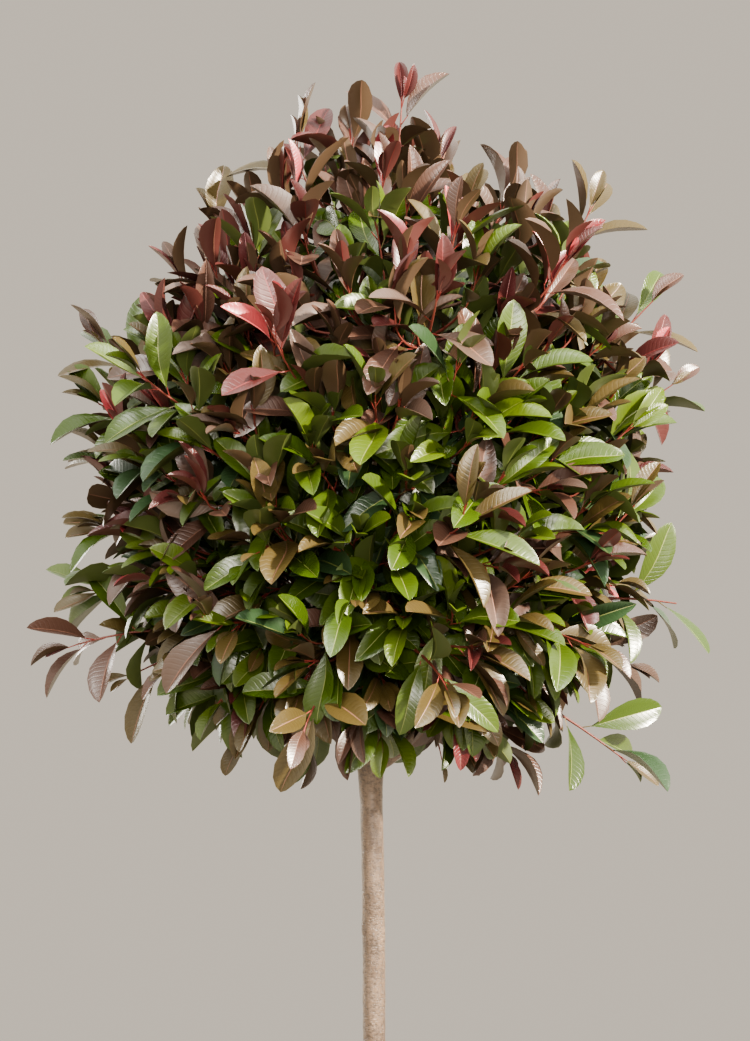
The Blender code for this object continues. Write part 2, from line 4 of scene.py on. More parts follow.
import bmesh
import bpy
import numpy as np
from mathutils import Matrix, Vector


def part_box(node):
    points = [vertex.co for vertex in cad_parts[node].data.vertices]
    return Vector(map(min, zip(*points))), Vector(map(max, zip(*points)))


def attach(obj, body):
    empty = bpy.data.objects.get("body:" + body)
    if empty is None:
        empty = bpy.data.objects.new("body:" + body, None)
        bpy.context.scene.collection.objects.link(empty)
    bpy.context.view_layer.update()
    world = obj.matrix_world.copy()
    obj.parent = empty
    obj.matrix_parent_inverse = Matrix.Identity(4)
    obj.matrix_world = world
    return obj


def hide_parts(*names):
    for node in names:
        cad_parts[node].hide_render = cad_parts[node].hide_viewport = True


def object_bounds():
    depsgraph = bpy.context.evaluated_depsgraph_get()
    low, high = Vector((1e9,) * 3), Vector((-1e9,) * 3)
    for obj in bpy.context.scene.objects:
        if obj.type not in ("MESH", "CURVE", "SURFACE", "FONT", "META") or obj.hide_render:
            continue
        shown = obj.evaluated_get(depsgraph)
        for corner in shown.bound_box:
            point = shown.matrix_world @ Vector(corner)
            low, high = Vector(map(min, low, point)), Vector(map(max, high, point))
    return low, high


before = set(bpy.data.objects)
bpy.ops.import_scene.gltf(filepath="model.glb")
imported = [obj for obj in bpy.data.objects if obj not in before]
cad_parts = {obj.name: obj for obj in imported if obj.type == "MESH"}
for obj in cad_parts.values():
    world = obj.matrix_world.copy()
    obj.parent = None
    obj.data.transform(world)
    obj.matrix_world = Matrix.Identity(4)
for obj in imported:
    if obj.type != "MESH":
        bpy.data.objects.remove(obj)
cad_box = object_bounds()

# The pot
# A plain thrown pot of unglazed terracotta with a broad band for its rim and drain holes in its foot. The
# kiln has mottled the clay, the wheel has left fine rings in it, and lime from the water has bloomed pale
# near the foot and under the rim.

POT_HEIGHT = 0.38
POT_FOOT_RADIUS = 0.155
POT_WALL = 0.014
POT_SIDES = 96
POT_EDGE_ANGLE = 25.0
BAND_HEIGHT = 0.062
BAND_RADIUS = 0.212
BAND_PROUD = 0.009
BAND_SPREAD = 0.0025
EDGE_ROUND = 0.004
DRAIN_HOLES = 3
DRAIN_RADIUS = 0.009
DRAIN_RING_RADIUS = 0.075
DRAIN_SIDES = 24
CLAY_DARK = (0.150, 0.047, 0.021)
CLAY_LIGHT = (0.230, 0.080, 0.036)
CLAY_MOTTLE_SIZE = 0.11
CLAY_SPECK_SIZE = 0.004
CLAY_GRAIN_SIZE = 0.003
LIME_BLOOM = (0.34, 0.23, 0.165)
LIME_PATCH_SIZE = 0.035
LIME_FOOT_HEIGHT = 0.13
LIME_RIM_FOOT = 0.24
LIME_RIM_FULL = 0.315
LIME_RIM_EDGE = 0.312
LIME_RIM_END = 0.345
WHEEL_RING_SPACING = 0.006
WHEEL_RING_DEPTH = 0.0005
# The wave texture's scale is this share over the distance between two of its bands
WAVE_SCALE = 0.314


def feed(tree, socket, value):
    """Gives a node's input a value or a colour, or links it to another node's output."""
    if isinstance(value, bpy.types.NodeSocket):
        tree.links.new(value, socket)
    elif socket.type == "RGBA":
        socket.default_value = (*value, 1.0)
    else:
        socket.default_value = value


def new_node(tree, kind, **inputs):
    """A shader node with its inputs fed by name, with _ for a space."""
    node = tree.nodes.new("ShaderNode" + kind)
    for name, value in inputs.items():
        feed(tree, node.inputs[name.replace("_", " ")], value)
    return node


def new_finish(name, roughness):
    finish = bpy.data.materials.new(name)
    finish.use_nodes = True
    shader = finish.node_tree.nodes["Principled BSDF"]
    shader.inputs["Roughness"].default_value = roughness
    return finish, finish.node_tree, shader


def plain_finish(name, colour, roughness):
    finish, tree, shader = new_finish(name, roughness)
    feed(tree, shader.inputs["Base Color"], colour)
    return finish


def place_on(tree, stretch=(1.0, 1.0, 1.0)):
    """The place on the piece, in metres from the plant's foot, with each side scaled by its number."""
    place = new_node(tree, "TexCoord").outputs["Object"]
    return new_node(tree, "Mapping", Vector=place, Scale=stretch).outputs["Vector"]


def patches(tree, place, size, detail=3.0, contrast=0.55):
    """A value that wanders between 0 and 1 in soft patches about size metres across."""
    cloud = new_node(tree, "TexNoise", Vector=place, Scale=1.0 / size, Detail=detail, Roughness=contrast)
    return cloud.outputs["Fac"]


def grade(tree, value, *stops):
    """Turns a value into a colour between two stops, each of them a value and its colour."""
    ramp = new_node(tree, "ValToRGB", Fac=value)
    for element, (position, colour) in zip(ramp.color_ramp.elements, stops):
        element.position = position
        element.color = (*colour, 1.0)
    return ramp.outputs["Color"]


def sums(tree, kind, first, second, clamp=True):
    """A sum on two values, such as ADD or SUBTRACT, held between 0 and 1 if clamp says so."""
    node = new_node(tree, "Math")
    node.operation = kind
    node.use_clamp = clamp
    for socket, value in zip(node.inputs, (first, second)):
        feed(tree, socket, value)
    return node.outputs["Value"]


def share_of(tree, value, share):
    return sums(tree, "MULTIPLY", value, share)


def laid_over(tree, cover, below, above):
    """One colour over another, as far as cover says."""
    mix = new_node(tree, "Mix", Factor=cover)
    mix.data_type = "RGBA"
    sockets = [socket for socket in mix.inputs if socket.type == "RGBA"]
    for socket, colour in zip(sockets, (below, above)):
        feed(tree, socket, colour)
    return [socket for socket in mix.outputs if socket.type == "RGBA"][0]


def between(tree, value, low, high):
    """0 where the value is at low, 1 where it is at high, and smooth between."""
    span = new_node(tree, "MapRange", Value=value, From_Min=low, From_Max=high)
    span.interpolation_type = "SMOOTHSTEP"
    return span.outputs["Result"]


def height_of(tree, place):
    return new_node(tree, "SeparateXYZ", Vector=place).outputs["Z"]


def give_relief(tree, shader, height, depth):
    relief = new_node(tree, "Bump", Height=height, Strength=1.0, Distance=depth)
    feed(tree, shader.inputs["Normal"], relief.outputs["Normal"])


def make_terracotta():
    finish, tree, shader = new_finish("terracotta", 0.86)
    place = place_on(tree)
    clay = grade(tree, patches(tree, place, CLAY_MOTTLE_SIZE), (0.32, CLAY_DARK), (0.68, CLAY_LIGHT))
    speckle = between(tree, patches(tree, place, CLAY_SPECK_SIZE, 2.0), 0.55, 0.75)
    clay = laid_over(tree, share_of(tree, speckle, 0.35), clay, CLAY_DARK)
    height = height_of(tree, place)
    near_foot = between(tree, height, LIME_FOOT_HEIGHT, 0.0)
    rising = between(tree, height, LIME_RIM_FOOT, LIME_RIM_FULL)
    ending = between(tree, height, LIME_RIM_END, LIME_RIM_EDGE)
    under_rim = share_of(tree, rising, ending)
    damp_lines = sums(tree, "ADD", near_foot, share_of(tree, under_rim, 0.7))
    cloud = patches(tree, place_on(tree, (1.0, 1.0, 1.7)), LIME_PATCH_SIZE, 5.0, 0.65)
    bloom = share_of(tree, between(tree, cloud, 0.44, 0.72), damp_lines)
    colour = laid_over(tree, share_of(tree, bloom, 0.75), clay, LIME_BLOOM)
    feed(tree, shader.inputs["Base Color"], colour)
    scale = WAVE_SCALE / WHEEL_RING_SPACING
    rings = new_node(tree, "TexWave", Vector=place, Scale=scale, Distortion=1.5, Detail_Scale=6.0)
    rings.bands_direction = "Z"
    grain = share_of(tree, patches(tree, place, CLAY_GRAIN_SIZE), 0.5)
    surface = sums(tree, "ADD", share_of(tree, rings.outputs["Fac"], 0.4), grain)
    give_relief(tree, shader, surface, WHEEL_RING_DEPTH)
    return finish


def start_fresh():
    if bpy.context.object and bpy.context.object.mode != "OBJECT":
        bpy.ops.object.mode_set(mode="OBJECT")
    bpy.ops.object.select_all(action="DESELECT")


def edit_all():
    bpy.ops.object.mode_set(mode="EDIT")
    bpy.ops.mesh.select_all(action="SELECT")


def close_up():
    """Turns all faces outwards and leaves edit mode."""
    bpy.ops.mesh.select_all(action="SELECT")
    bpy.ops.mesh.normals_make_consistent(inside=False)
    bpy.ops.object.mode_set(mode="OBJECT")


def apply_all(piece):
    bpy.context.view_layer.objects.active = piece
    for modifier in list(piece.modifiers):
        bpy.ops.object.modifier_apply(modifier=modifier.name)


def soften(piece, angle):
    """Shades a piece smooth, but for edges sharper than an angle in degrees."""
    start_fresh()
    piece.select_set(True)
    bpy.context.view_layer.objects.active = piece
    bpy.ops.object.shade_smooth_by_angle(angle=math.radians(angle))


def throw_pot():
    """The pot is drawn from its foot up to the band, over the rim and down inside to its floor."""
    wall_top = BAND_RADIUS - BAND_PROUD
    lean = (wall_top - POT_FOOT_RADIUS) / POT_HEIGHT
    band_foot = POT_HEIGHT - BAND_HEIGHT
    outline = (
        (POT_FOOT_RADIUS + lean * band_foot, band_foot),
        (BAND_RADIUS, band_foot + EDGE_ROUND * 0.5),
        (BAND_RADIUS + BAND_SPREAD, POT_HEIGHT),
        (wall_top - POT_WALL, POT_HEIGHT),
        (POT_FOOT_RADIUS - POT_WALL + lean * POT_WALL, POT_WALL),
    )
    start_fresh()
    bpy.ops.mesh.primitive_circle_add(vertices=POT_SIDES, radius=POT_FOOT_RADIUS, fill_type="NGON")
    pot = bpy.context.object
    pot.name = "thrown_pot"
    edit_all()
    last_radius, last_height = POT_FOOT_RADIUS, 0.0
    for radius, height in outline:
        bpy.ops.mesh.extrude_region_move(TRANSFORM_OT_translate={"value": (0.0, 0.0, height - last_height)})
        widen = radius / last_radius
        bpy.ops.transform.resize(value=(widen, widen, 1.0), center_override=(0.0, 0.0, height))
        last_radius, last_height = radius, height
    close_up()
    return pot


def drill_drains(pot):
    for number in range(DRAIN_HOLES):
        bearing = 2.0 * math.pi * (number + 0.25) / DRAIN_HOLES
        x, y = DRAIN_RING_RADIUS * math.cos(bearing), DRAIN_RING_RADIUS * math.sin(bearing)
        start_fresh()
        bpy.ops.mesh.primitive_cylinder_add(
            vertices=DRAIN_SIDES, radius=DRAIN_RADIUS, depth=POT_WALL * 3.0, location=(x, y, POT_WALL * 0.5)
        )
        drill = bpy.context.object
        hole = pot.modifiers.new("Drain", "BOOLEAN")
        hole.operation = "DIFFERENCE"
        hole.object = drill
        apply_all(pot)
        bpy.data.objects.remove(drill)


pot = throw_pot()
rounding = pot.modifiers.new("Rounding", "BEVEL")
rounding.limit_method = "ANGLE"
rounding.angle_limit = math.radians(POT_EDGE_ANGLE)
rounding.width = EDGE_ROUND
rounding.segments = 4
apply_all(pot)
drill_drains(pot)
pot.data.materials.append(make_terracotta())
soften(pot, 35.0)
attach(pot, "root")
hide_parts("pot")

# The compost
# Moist peat and bark compost fills the pot to a few centimetres below its rim. The plug is the frame's
# solid; its top is dressed with a crumbly skin and with loose chips of bark and fibre lying on it.

UP = Vector((0.0, 0.0, 1.0))
soil_low, soil_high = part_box("soil")
SOIL_TOP = soil_high.z
SOIL_RADIUS = (soil_high.x - soil_low.x) / 2.0
SKIN_SIDES = 96
SKIN_RINGS = 24
SKIN_DEPTH = 0.004
SKIN_EDGE_GAP = 0.003
SKIN_LUMP_SIZE = 0.05
SKIN_CRUMB_SIZE = 0.009
SKIN_RISE = 0.006
CRUMB_SIZE = 0.007
CRUMB_DEPTH = 0.003
CHIP_COUNT = 900
CHIP_SIZES = (0.004, 0.013)
CHIP_FORM = (0.55, 1.0, 0.26)
CHIP_DENTS = 0.22
CHIP_HEIGHT = 0.005
CHIP_EDGE_GAP = 0.012
CHIP_TILT = 0.35
COMPOST_DARK = (0.011, 0.007, 0.005)
COMPOST_LIGHT = (0.042, 0.026, 0.016)
CHIP_COLOURS = {"bark_chip_brown": (0.042, 0.020, 0.011), "bark_chip_grey": (0.056, 0.037, 0.025)}


def select_points(piece, wanted):
    """Selects in edit mode the points of a piece whose place passes a test."""
    mesh = bmesh.from_edit_mesh(piece.data)
    mesh.select_mode = {"VERT"}
    for face in mesh.faces:
        face.select = False
    for edge in mesh.edges:
        edge.select = False
    for point in mesh.verts:
        point.select = wanted(point.co)
    mesh.select_flush_mode()
    bmesh.update_edit_mesh(piece.data)


def ripple(piece, size, rise):
    """Pushes a piece's surface in and out in soft lumps of a size, by rise in all."""
    lumps = bpy.data.textures.new("lumps", "CLOUDS")
    lumps.noise_scale = size
    push = piece.modifiers.new("Lumps", "DISPLACE")
    push.texture = lumps
    push.texture_coords = "LOCAL"
    push.strength = rise


def make_compost():
    finish, tree, shader = new_finish("compost", 0.95)
    place = place_on(tree)
    crumbs = patches(tree, place, CRUMB_SIZE, 6.0, 0.7)
    colour = grade(tree, crumbs, (0.35, COMPOST_DARK), (0.70, COMPOST_LIGHT))
    feed(tree, shader.inputs["Base Color"], colour)
    give_relief(tree, shader, crumbs, CRUMB_DEPTH)
    return finish


def make_chip():
    """One chip of bark: a small ball of twenty flat sides pulled long and flat, and dented."""
    start_fresh()
    bpy.ops.mesh.primitive_ico_sphere_add(subdivisions=1, radius=1.0)
    edit_all()
    bpy.ops.transform.resize(value=CHIP_FORM)
    bpy.ops.transform.vertex_random(offset=CHIP_DENTS, seed=5)
    bpy.ops.object.mode_set(mode="OBJECT")
    return bpy.context.object


def shape_of(piece):
    """A mesh's points, and its faces as lists of their points."""
    points = np.empty(len(piece.data.vertices) * 3)
    piece.data.vertices.foreach_get("co", points)
    return points.reshape(-1, 3), [list(face.vertices) for face in piece.data.polygons]


def add_object(name, data):
    piece = bpy.data.objects.new(name, data)
    bpy.context.scene.collection.objects.link(piece)
    return piece


def add_mesh(name, points, faces, finishes, slots):
    mesh = bpy.data.meshes.new(name)
    mesh.from_pydata([tuple(point) for point in points], [], faces)
    for finish in finishes:
        mesh.materials.append(finish)
    mesh.polygons.foreach_set("material_index", slots)
    return add_object(name, mesh)


def join_in(points, faces, more_points, more_faces):
    """Adds a small mesh to the points and faces of a larger one."""
    first = len(points)
    points += more_points
    faces += [[first + index for index in face] for face in more_faces]


compost = make_compost()
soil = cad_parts["soil"]
soil.data.materials.clear()
soil.data.materials.append(compost)

skin_middle = SOIL_TOP + SKIN_DEPTH / 2.0
start_fresh()
bpy.ops.mesh.primitive_cylinder_add(
    vertices=SKIN_SIDES,
    radius=SOIL_RADIUS - SKIN_EDGE_GAP,
    depth=SKIN_DEPTH,
    location=(0.0, 0.0, skin_middle),
)
soil_skin = bpy.context.object
soil_skin.name = "soil_skin"
bpy.ops.object.transform_apply(location=True, rotation=True, scale=True)
bpy.ops.object.mode_set(mode="EDIT")
select_points(soil_skin, lambda point: point.z > skin_middle)
for ring in range(SKIN_RINGS):
    # Each inset is a narrower ring of the top face, the last one round the stem.
    bpy.ops.mesh.inset(thickness=(SOIL_RADIUS - 2.0 * SKIN_EDGE_GAP) / (SKIN_RINGS + 1.0), depth=0.0)
bpy.ops.object.mode_set(mode="OBJECT")
ripple(soil_skin, SKIN_LUMP_SIZE, SKIN_RISE)
ripple(soil_skin, SKIN_CRUMB_SIZE, SKIN_RISE)
apply_all(soil_skin)
soil_skin.data.materials.append(compost)
soften(soil_skin, 60.0)
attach(soil_skin, "root")

chip = make_chip()
chip_points, chip_faces = shape_of(chip)
bpy.data.objects.remove(chip)
chance = random.Random(7)
points, faces, slots = [], [], []
for number in range(CHIP_COUNT):
    distance = math.sqrt(chance.uniform(0.02, 0.97)) * (SOIL_RADIUS - CHIP_EDGE_GAP)
    bearing = chance.uniform(0.0, 2.0 * math.pi)
    size = chance.uniform(*CHIP_SIZES)
    turn = chance.uniform(0.0, 2.0 * math.pi)
    tilt = chance.uniform(-CHIP_TILT, CHIP_TILT)
    centre = Vector((distance * math.cos(bearing), distance * math.sin(bearing), SOIL_TOP + CHIP_HEIGHT))
    along = Vector((math.cos(turn) * math.cos(tilt), math.sin(turn) * math.cos(tilt), math.sin(tilt)))
    side = along.cross(UP).normalized()
    up = side.cross(along)
    placed = [centre + (side * x + along * y + up * z) * size for x, y, z in chip_points]
    join_in(points, faces, placed, chip_faces)
    slots += [number % len(CHIP_COLOURS)] * len(chip_faces)
chip_finishes = [plain_finish(name, colour, 0.9) for name, colour in CHIP_COLOURS.items()]
bark_chips = add_mesh("bark_chips", points, faces, chip_finishes, slots)
soften(bark_chips, 50.0)
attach(bark_chips, "root")

# The stem
# One clear stem of smooth grey-brown wood, trained straight, swelling a little at its foot and again at
# the fork under the crown. Its bark is thin, with fine cross marks, faint growth rings and three healed
# knots where side shoots were cut off.

STEM_FOOT = SOIL_TOP - 0.004
STEM_TOP = 1.40
FORK_HEIGHT = 1.31
STEM_RADIUS = 0.0170
FLARE_RADIUS = 0.034
FLARE_HEIGHT = 0.05
FORK_SWELL = 0.005
FORK_SWELL_HEIGHT = 0.05
STEM_TOP_RADIUS = 0.0135
STEM_FOOT_X = 0.009
STEM_MIDDLE_X = 0.006
STEM_MIDDLE_SHARE = 0.55
STEM_FORK_X = -0.004
STEM_SWAY = 0.006
STEM_SIDES = 12
STEM_RINGS = 260
LIMB_LUMP_SIZE = 0.03
LIMB_LUMP_RISE = 0.0016
LIMB_GRAIN_SIZE = 0.006
LIMB_GRAIN_RISE = 0.0005
GROWTH_RINGS = (0.52, 0.70, 0.885, 1.0925, 1.2335)
GROWTH_RING_RISE = 0.0004
GROWTH_RING_WIDTH = 0.003
KNOT_WIDTH = 0.011
# Each knot is a height, a bearing in degrees and how far it stands out
KNOTS = ((1.038, 195.0, 0.0016), (0.66, 40.0, 0.0022), (1.165, 300.0, 0.0012))
BARK_TAUPE = (0.083, 0.050, 0.031)
BARK_PALE = (0.218, 0.147, 0.096)
BARK_DARK = (0.030, 0.018, 0.012)
BARK_PATCH_SIZE = 0.030
BARK_MOTTLE_SIZE = 0.0048
CROSS_MARK_SIZE = 0.008
STREAK_SIZE = 0.006
BARK_DEPTH = 0.0006


def even_steps(first, last, steps):
    """Values from first to last in even steps, both ends among them."""
    return [first + (last - first) * step / steps for step in range(steps + 1)]


def towards(bearing):
    """The level direction at a bearing in degrees."""
    angle = math.radians(bearing)
    return Vector((math.cos(angle), math.sin(angle), 0.0))


def stem_centre(height):
    """The stem's middle line sways a little and leans towards its fork."""
    share = (height - SOIL_TOP) / (STEM_TOP - SOIL_TOP)
    if share < STEM_MIDDLE_SHARE:
        x = STEM_FOOT_X + (STEM_MIDDLE_X - STEM_FOOT_X) * share / STEM_MIDDLE_SHARE
    else:
        above = (share - STEM_MIDDLE_SHARE) / (1.0 - STEM_MIDDLE_SHARE)
        x = STEM_MIDDLE_X + (STEM_FORK_X - STEM_MIDDLE_X) * above**2
    return Vector((x, STEM_SWAY * math.sin(2.0 * math.pi * share), height))


def stem_radius(height):
    radius = STEM_RADIUS + (FLARE_RADIUS - STEM_RADIUS) * math.exp(-(height - SOIL_TOP) / FLARE_HEIGHT)
    radius += FORK_SWELL * math.exp(-(((height - FORK_HEIGHT) / FORK_SWELL_HEIGHT) ** 2))
    if height > FORK_HEIGHT:
        share = (height - FORK_HEIGHT) / (STEM_TOP - FORK_HEIGHT)
        radius -= (STEM_RADIUS - STEM_TOP_RADIUS) * share
    for ring in GROWTH_RINGS:
        radius += GROWTH_RING_RISE * math.exp(-(((height - ring) / GROWTH_RING_WIDTH) ** 2))
    return radius


def grow_limb(name, path, radii, bark):
    """A round limb swept along its middle line, as thick at each place as its radii say."""
    start_fresh()
    bpy.ops.curve.primitive_nurbs_path_add()
    limb = bpy.context.object
    limb.name = name
    line = limb.data.splines[0]
    line.type = "POLY"
    line.points.add(len(path) - len(line.points))
    for point, place, radius in zip(line.points, path, radii):
        point.co = (*place, 1.0)
        point.radius = radius
    limb.data.bevel_depth = 1.0
    limb.data.bevel_resolution = STEM_SIDES
    limb.data.use_fill_caps = True
    bpy.ops.object.convert(target="MESH")
    limb = bpy.context.object
    edit_all()
    bpy.ops.mesh.remove_doubles(threshold=0.00001)
    close_up()
    ripple(limb, LIMB_LUMP_SIZE, LIMB_LUMP_RISE)
    ripple(limb, LIMB_GRAIN_SIZE, LIMB_GRAIN_RISE)
    apply_all(limb)
    limb.data.materials.append(bark)
    soften(limb, 60.0)
    return limb


def upright_patches(tree, stretch, size, detail, contrast):
    """Patches stretched along the stem's height where stretch is under 1, and across it where it is over."""
    return patches(tree, place_on(tree, (1.0, 1.0, stretch)), size, detail, contrast)


def make_bark():
    finish, tree, shader = new_finish("bark", 0.36)
    broad = upright_patches(tree, 0.5, BARK_PATCH_SIZE, 5.0, 0.65)
    colour = grade(tree, broad, (0.34, BARK_TAUPE), (0.68, BARK_PALE))
    mottle = between(tree, upright_patches(tree, 1.4, BARK_MOTTLE_SIZE, 5.0, 0.7), 0.47, 0.60)
    colour = laid_over(tree, share_of(tree, mottle, 0.62), colour, BARK_DARK)
    cross_marks = between(tree, upright_patches(tree, 5.0, CROSS_MARK_SIZE, 2.0, 0.5), 0.58, 0.68)
    colour = laid_over(tree, share_of(tree, cross_marks, 0.55), colour, BARK_PALE)
    streaks = between(tree, upright_patches(tree, 0.10, STREAK_SIZE, 3.0, 0.5), 0.50, 0.70)
    colour = laid_over(tree, share_of(tree, streaks, 0.25), colour, BARK_DARK)
    feed(tree, shader.inputs["Base Color"], colour)
    shader.inputs["Specular IOR Level"].default_value = 1.0
    raised = sums(tree, "ADD", share_of(tree, cross_marks, 0.5), 0.4)
    surface = sums(tree, "SUBTRACT", raised, share_of(tree, mottle, 0.4))
    give_relief(tree, shader, surface, BARK_DEPTH)
    return finish


bark = make_bark()
stem_heights = even_steps(STEM_FOOT, STEM_TOP, STEM_RINGS)
stem = grow_limb(
    "stem_bark",
    [stem_centre(height) for height in stem_heights],
    [stem_radius(height) for height in stem_heights],
    bark,
)
for height, bearing, rise in KNOTS:
    # A healed knot is a low round swelling on one side of the stem.
    side = towards(bearing)
    middle = stem_centre(height) + side * STEM_RADIUS
    for point in stem.data.vertices:
        distance = (point.co - middle).length
        point.co += side * (rise * math.exp(-((distance / KNOT_WIDTH) ** 2)))
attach(stem, "root")
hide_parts("trunk")

# The boughs
# Ten limbs leave the stem round its fork, five low, four high and a leader on the stem's top, and each
# runs on as the stem of one mass of foliage. They have the stem's bark.

CROWN_CENTRE = Vector((0.006, 0.0, 1.74))
CROWN_HALF_WIDTH = 0.44
CROWN_RISE = 0.55
CROWN_DROP = 0.48
UPPER_ROUNDNESS = 1.7
LOWER_ROUNDNESS = 2.5
CROWN_LEAN = 0.04
# Each ring of masses, and then its boughs: where they leave the stem above or below the fork and how far
# apart, how far outwards and up they start and end off the straight line, and how much of it they reach
RINGS = {
    "lower": {
        "count": 5, "distance": 0.19, "height": 1.555, "bearing": 54.0,
        "thickness": 0.0095, "fork": -0.035, "stagger": 0.013, "start": (0.062, 0.020),
        "reach": 0.58, "end": (0.0, -0.018),
    },
    "upper": {
        "count": 4, "distance": 0.19, "height": 1.875, "bearing": 20.0,
        "thickness": 0.0085, "fork": 0.020, "stagger": 0.005, "start": (0.078, 0.115),
        "reach": 0.56, "end": (-0.016, 0.0),
    },
}
RING_UNEVENNESS = 0.03
TOP_HEART_HEIGHT = 2.06
TOP_HEART_LEAN = 0.012
LEADER_RADIUS = 0.0115
LEADER_REACH = 0.80
LEADER_BEND = Vector((-0.012, 0.010, 0.0))
BOUGH_TAPER = 0.62
BOUGH_STEPS = 18
MASS_STEM_STEPS = 8
MASS_STEM_TIP_RADIUS = 0.0045


def bend(start, handle, end, steps):
    """Points along a smooth curve that leaves start towards handle and comes in to end from it."""
    points = []
    for step in range(steps + 1):
        share = step / steps
        points.append(start.lerp(handle, share).lerp(handle.lerp(end, share), share))
    return points


def bough_path(mass):
    """A bough leaves the stem's middle line, turns towards its mass and ends where it enters it."""
    heart, outward = mass["heart"], mass["outward"]
    if mass["name"] == "top":
        start = stem_centre(STEM_TOP)
        end = start.lerp(heart, LEADER_REACH)
        return bend(start, start.lerp(end, 0.5) + LEADER_BEND, end, BOUGH_STEPS), LEADER_RADIUS
    ring = mass["ring"]
    start = stem_centre(FORK_HEIGHT + ring["fork"] + ring["stagger"] * (mass["number"] * 2 % 5))
    handle = start + outward * ring["start"][0] + UP * ring["start"][1]
    end = start.lerp(heart, ring["reach"]) + outward * ring["end"][0] + UP * ring["end"][1]
    return bend(start, handle, end, BOUGH_STEPS), ring["thickness"]


def plan_masses():
    """The ten masses of foliage: their places, and the bough that leads to each."""
    masses = []
    for ring_name, ring in RINGS.items():
        for number in range(ring["count"]):
            outward = towards(ring["bearing"] + 360.0 * number / ring["count"])
            heart = CROWN_CENTRE + outward * ring["distance"]
            heart.z = ring["height"] + RING_UNEVENNESS * math.cos(2.4 * number)
            mass = {"name": f"{ring_name}_{number + 1}", "ring": ring, "number": number + 1}
            masses.append({**mass, "outward": outward, "heart": heart})
    top_heart = Vector((CROWN_CENTRE.x + TOP_HEART_LEAN, CROWN_CENTRE.y, TOP_HEART_HEIGHT))
    masses.append({"name": "top", "outward": UP, "heart": top_heart})
    for mass in masses:
        mass["path"], mass["radius"] = bough_path(mass)
    return masses


masses = plan_masses()
limbs = []
for mass in masses:
    stem_start = mass["path"][-1]
    shares = even_steps(0.0, 1.0, MASS_STEM_STEPS)[1:]
    mass_stem = [stem_start.lerp(mass["heart"], share) for share in shares]
    radii = even_steps(mass["radius"], mass["radius"] * BOUGH_TAPER, BOUGH_STEPS)
    radii += even_steps(radii[-1], MASS_STEM_TIP_RADIUS, MASS_STEM_STEPS)[1:]
    limbs.append(grow_limb(f"limb_{mass['name']}", mass["path"] + mass_stem, radii, bark))
start_fresh()
for limb in limbs:
    limb.select_set(True)
bpy.context.view_layer.objects.active = limbs[0]
bpy.ops.object.join()
boughs = bpy.context.object
boughs.name = "boughs_bark"
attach(boughs, "root")
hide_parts("bough_leader", *[f"bough_{mass['name']}" for mass in masses if mass["name"] != "top"])

# The twigs
# Thin branches fork from each mass's stem and carry the shoots: brown wood inside the crown, and dark red
# young wood over the last hand's breadth, both painted lighter to make up for the crown's shade. The longest
# of them reach out of the crown to its outline.

SHOOTS = 96
LOWEST_RISE = -0.94
LONG_SHOOT_EVERY = 5
LONG_SHOOT_DEPTH = 0.22
SHORT_REACH = 0.93
USUAL_REACH = 1.02
LONG_REACH = 1.13
SHOOT_SPACING = 0.115
SHOOT_LIFT = 0.25
SHOOT_LIFT_AT_TOP = 0.45
GOLDEN_ANGLE = math.pi * (3.0 - math.sqrt(5.0))
FAR_TIP_DEPTH = 0.03
FAR_TIPS = (
    (0.050, 2.332), (0.112, 2.252), (0.225, 2.198), (0.358, 2.172), (0.455, 2.015),
    (0.502, 1.882), (0.440, 1.720), (0.458, 1.610), (0.526, 1.512), (0.440, 1.405),
    (0.425, 1.255), (0.240, 1.250), (0.125, 1.240), (-0.108, 1.248), (-0.232, 1.290),
    (-0.415, 1.385), (-0.502, 1.443), (-0.474, 1.532), (-0.455, 1.640), (-0.458, 1.760),
    (-0.450, 1.850), (-0.445, 1.952), (-0.310, 2.060), (-0.258, 2.160), (-0.118, 2.268),
)
# Finer shoots that reach the outline between the furthest ones
TOP_TIPS = ((-0.038, -0.02, 2.285), (0.437, -0.05, 1.935), (-0.075, 0.03, 2.235))
# The finer shoots: how many even directions they are dealt over, how far out they reach and how close
# they stand, for the outer ones and for the ones behind them in the crown's shade
OUTER_SHOOTS = {"directions": 430, "reach": (0.84, 1.00), "spacing": 0.060, "seed": 11}
INNER_SHOOTS = {"directions": 210, "reach": (0.58, 0.80), "spacing": 0.062, "seed": 12}
FINER_LIFT = 0.60
FINER_SWAY = 0.40
FINER_SHIFT = 0.012
TIP_LEAF_REACH = 0.070
TWIG_FORK_BACK = 0.13
# The shares of its mass's stem between which a main twig may fork, and how far it slants back to its fork
FORK_SHARES = (0.30, 0.97)
FORK_SLANT = 0.7
TWIG_STEPS = 8
TWIG_SIDES = 5
MAIN_TWIG_RADIUS = 0.0038
SIDE_TWIG_RADIUS = 0.0026
SHOOT_END_RADIUS = 0.0012
YOUNG_WOOD_LENGTH = 0.11
# Both wood colours are painted lighter than real wood, to make up for the shade inside the crown
OLD_WOOD_PAINTED_LIGHTER = (0.115, 0.062, 0.043)
YOUNG_WOOD_PAINTED_LIGHTER = (0.150, 0.037, 0.026)
FAR_REACH = 1.05


def reach_share(point):
    """How far out a point lies: 0 at the crown's centre and 1 on its egg-shaped body."""
    offset = point - CROWN_CENTRE
    offset.x -= CROWN_LEAN * max(offset.z, 0.0) / CROWN_RISE
    across = math.hypot(offset.x, offset.y) / CROWN_HALF_WIDTH
    if offset.z > 0.0:
        power, along = UPPER_ROUNDNESS, offset.z / CROWN_RISE
    else:
        power, along = LOWER_ROUNDNESS, -offset.z / CROWN_DROP
    return (across**power + along**power) ** (1.0 / power)


def nudge(chance, most):
    """A seeded shift of up to most each way on each of the three sides."""
    return Vector([chance.uniform(-most, most) for side in range(3)])


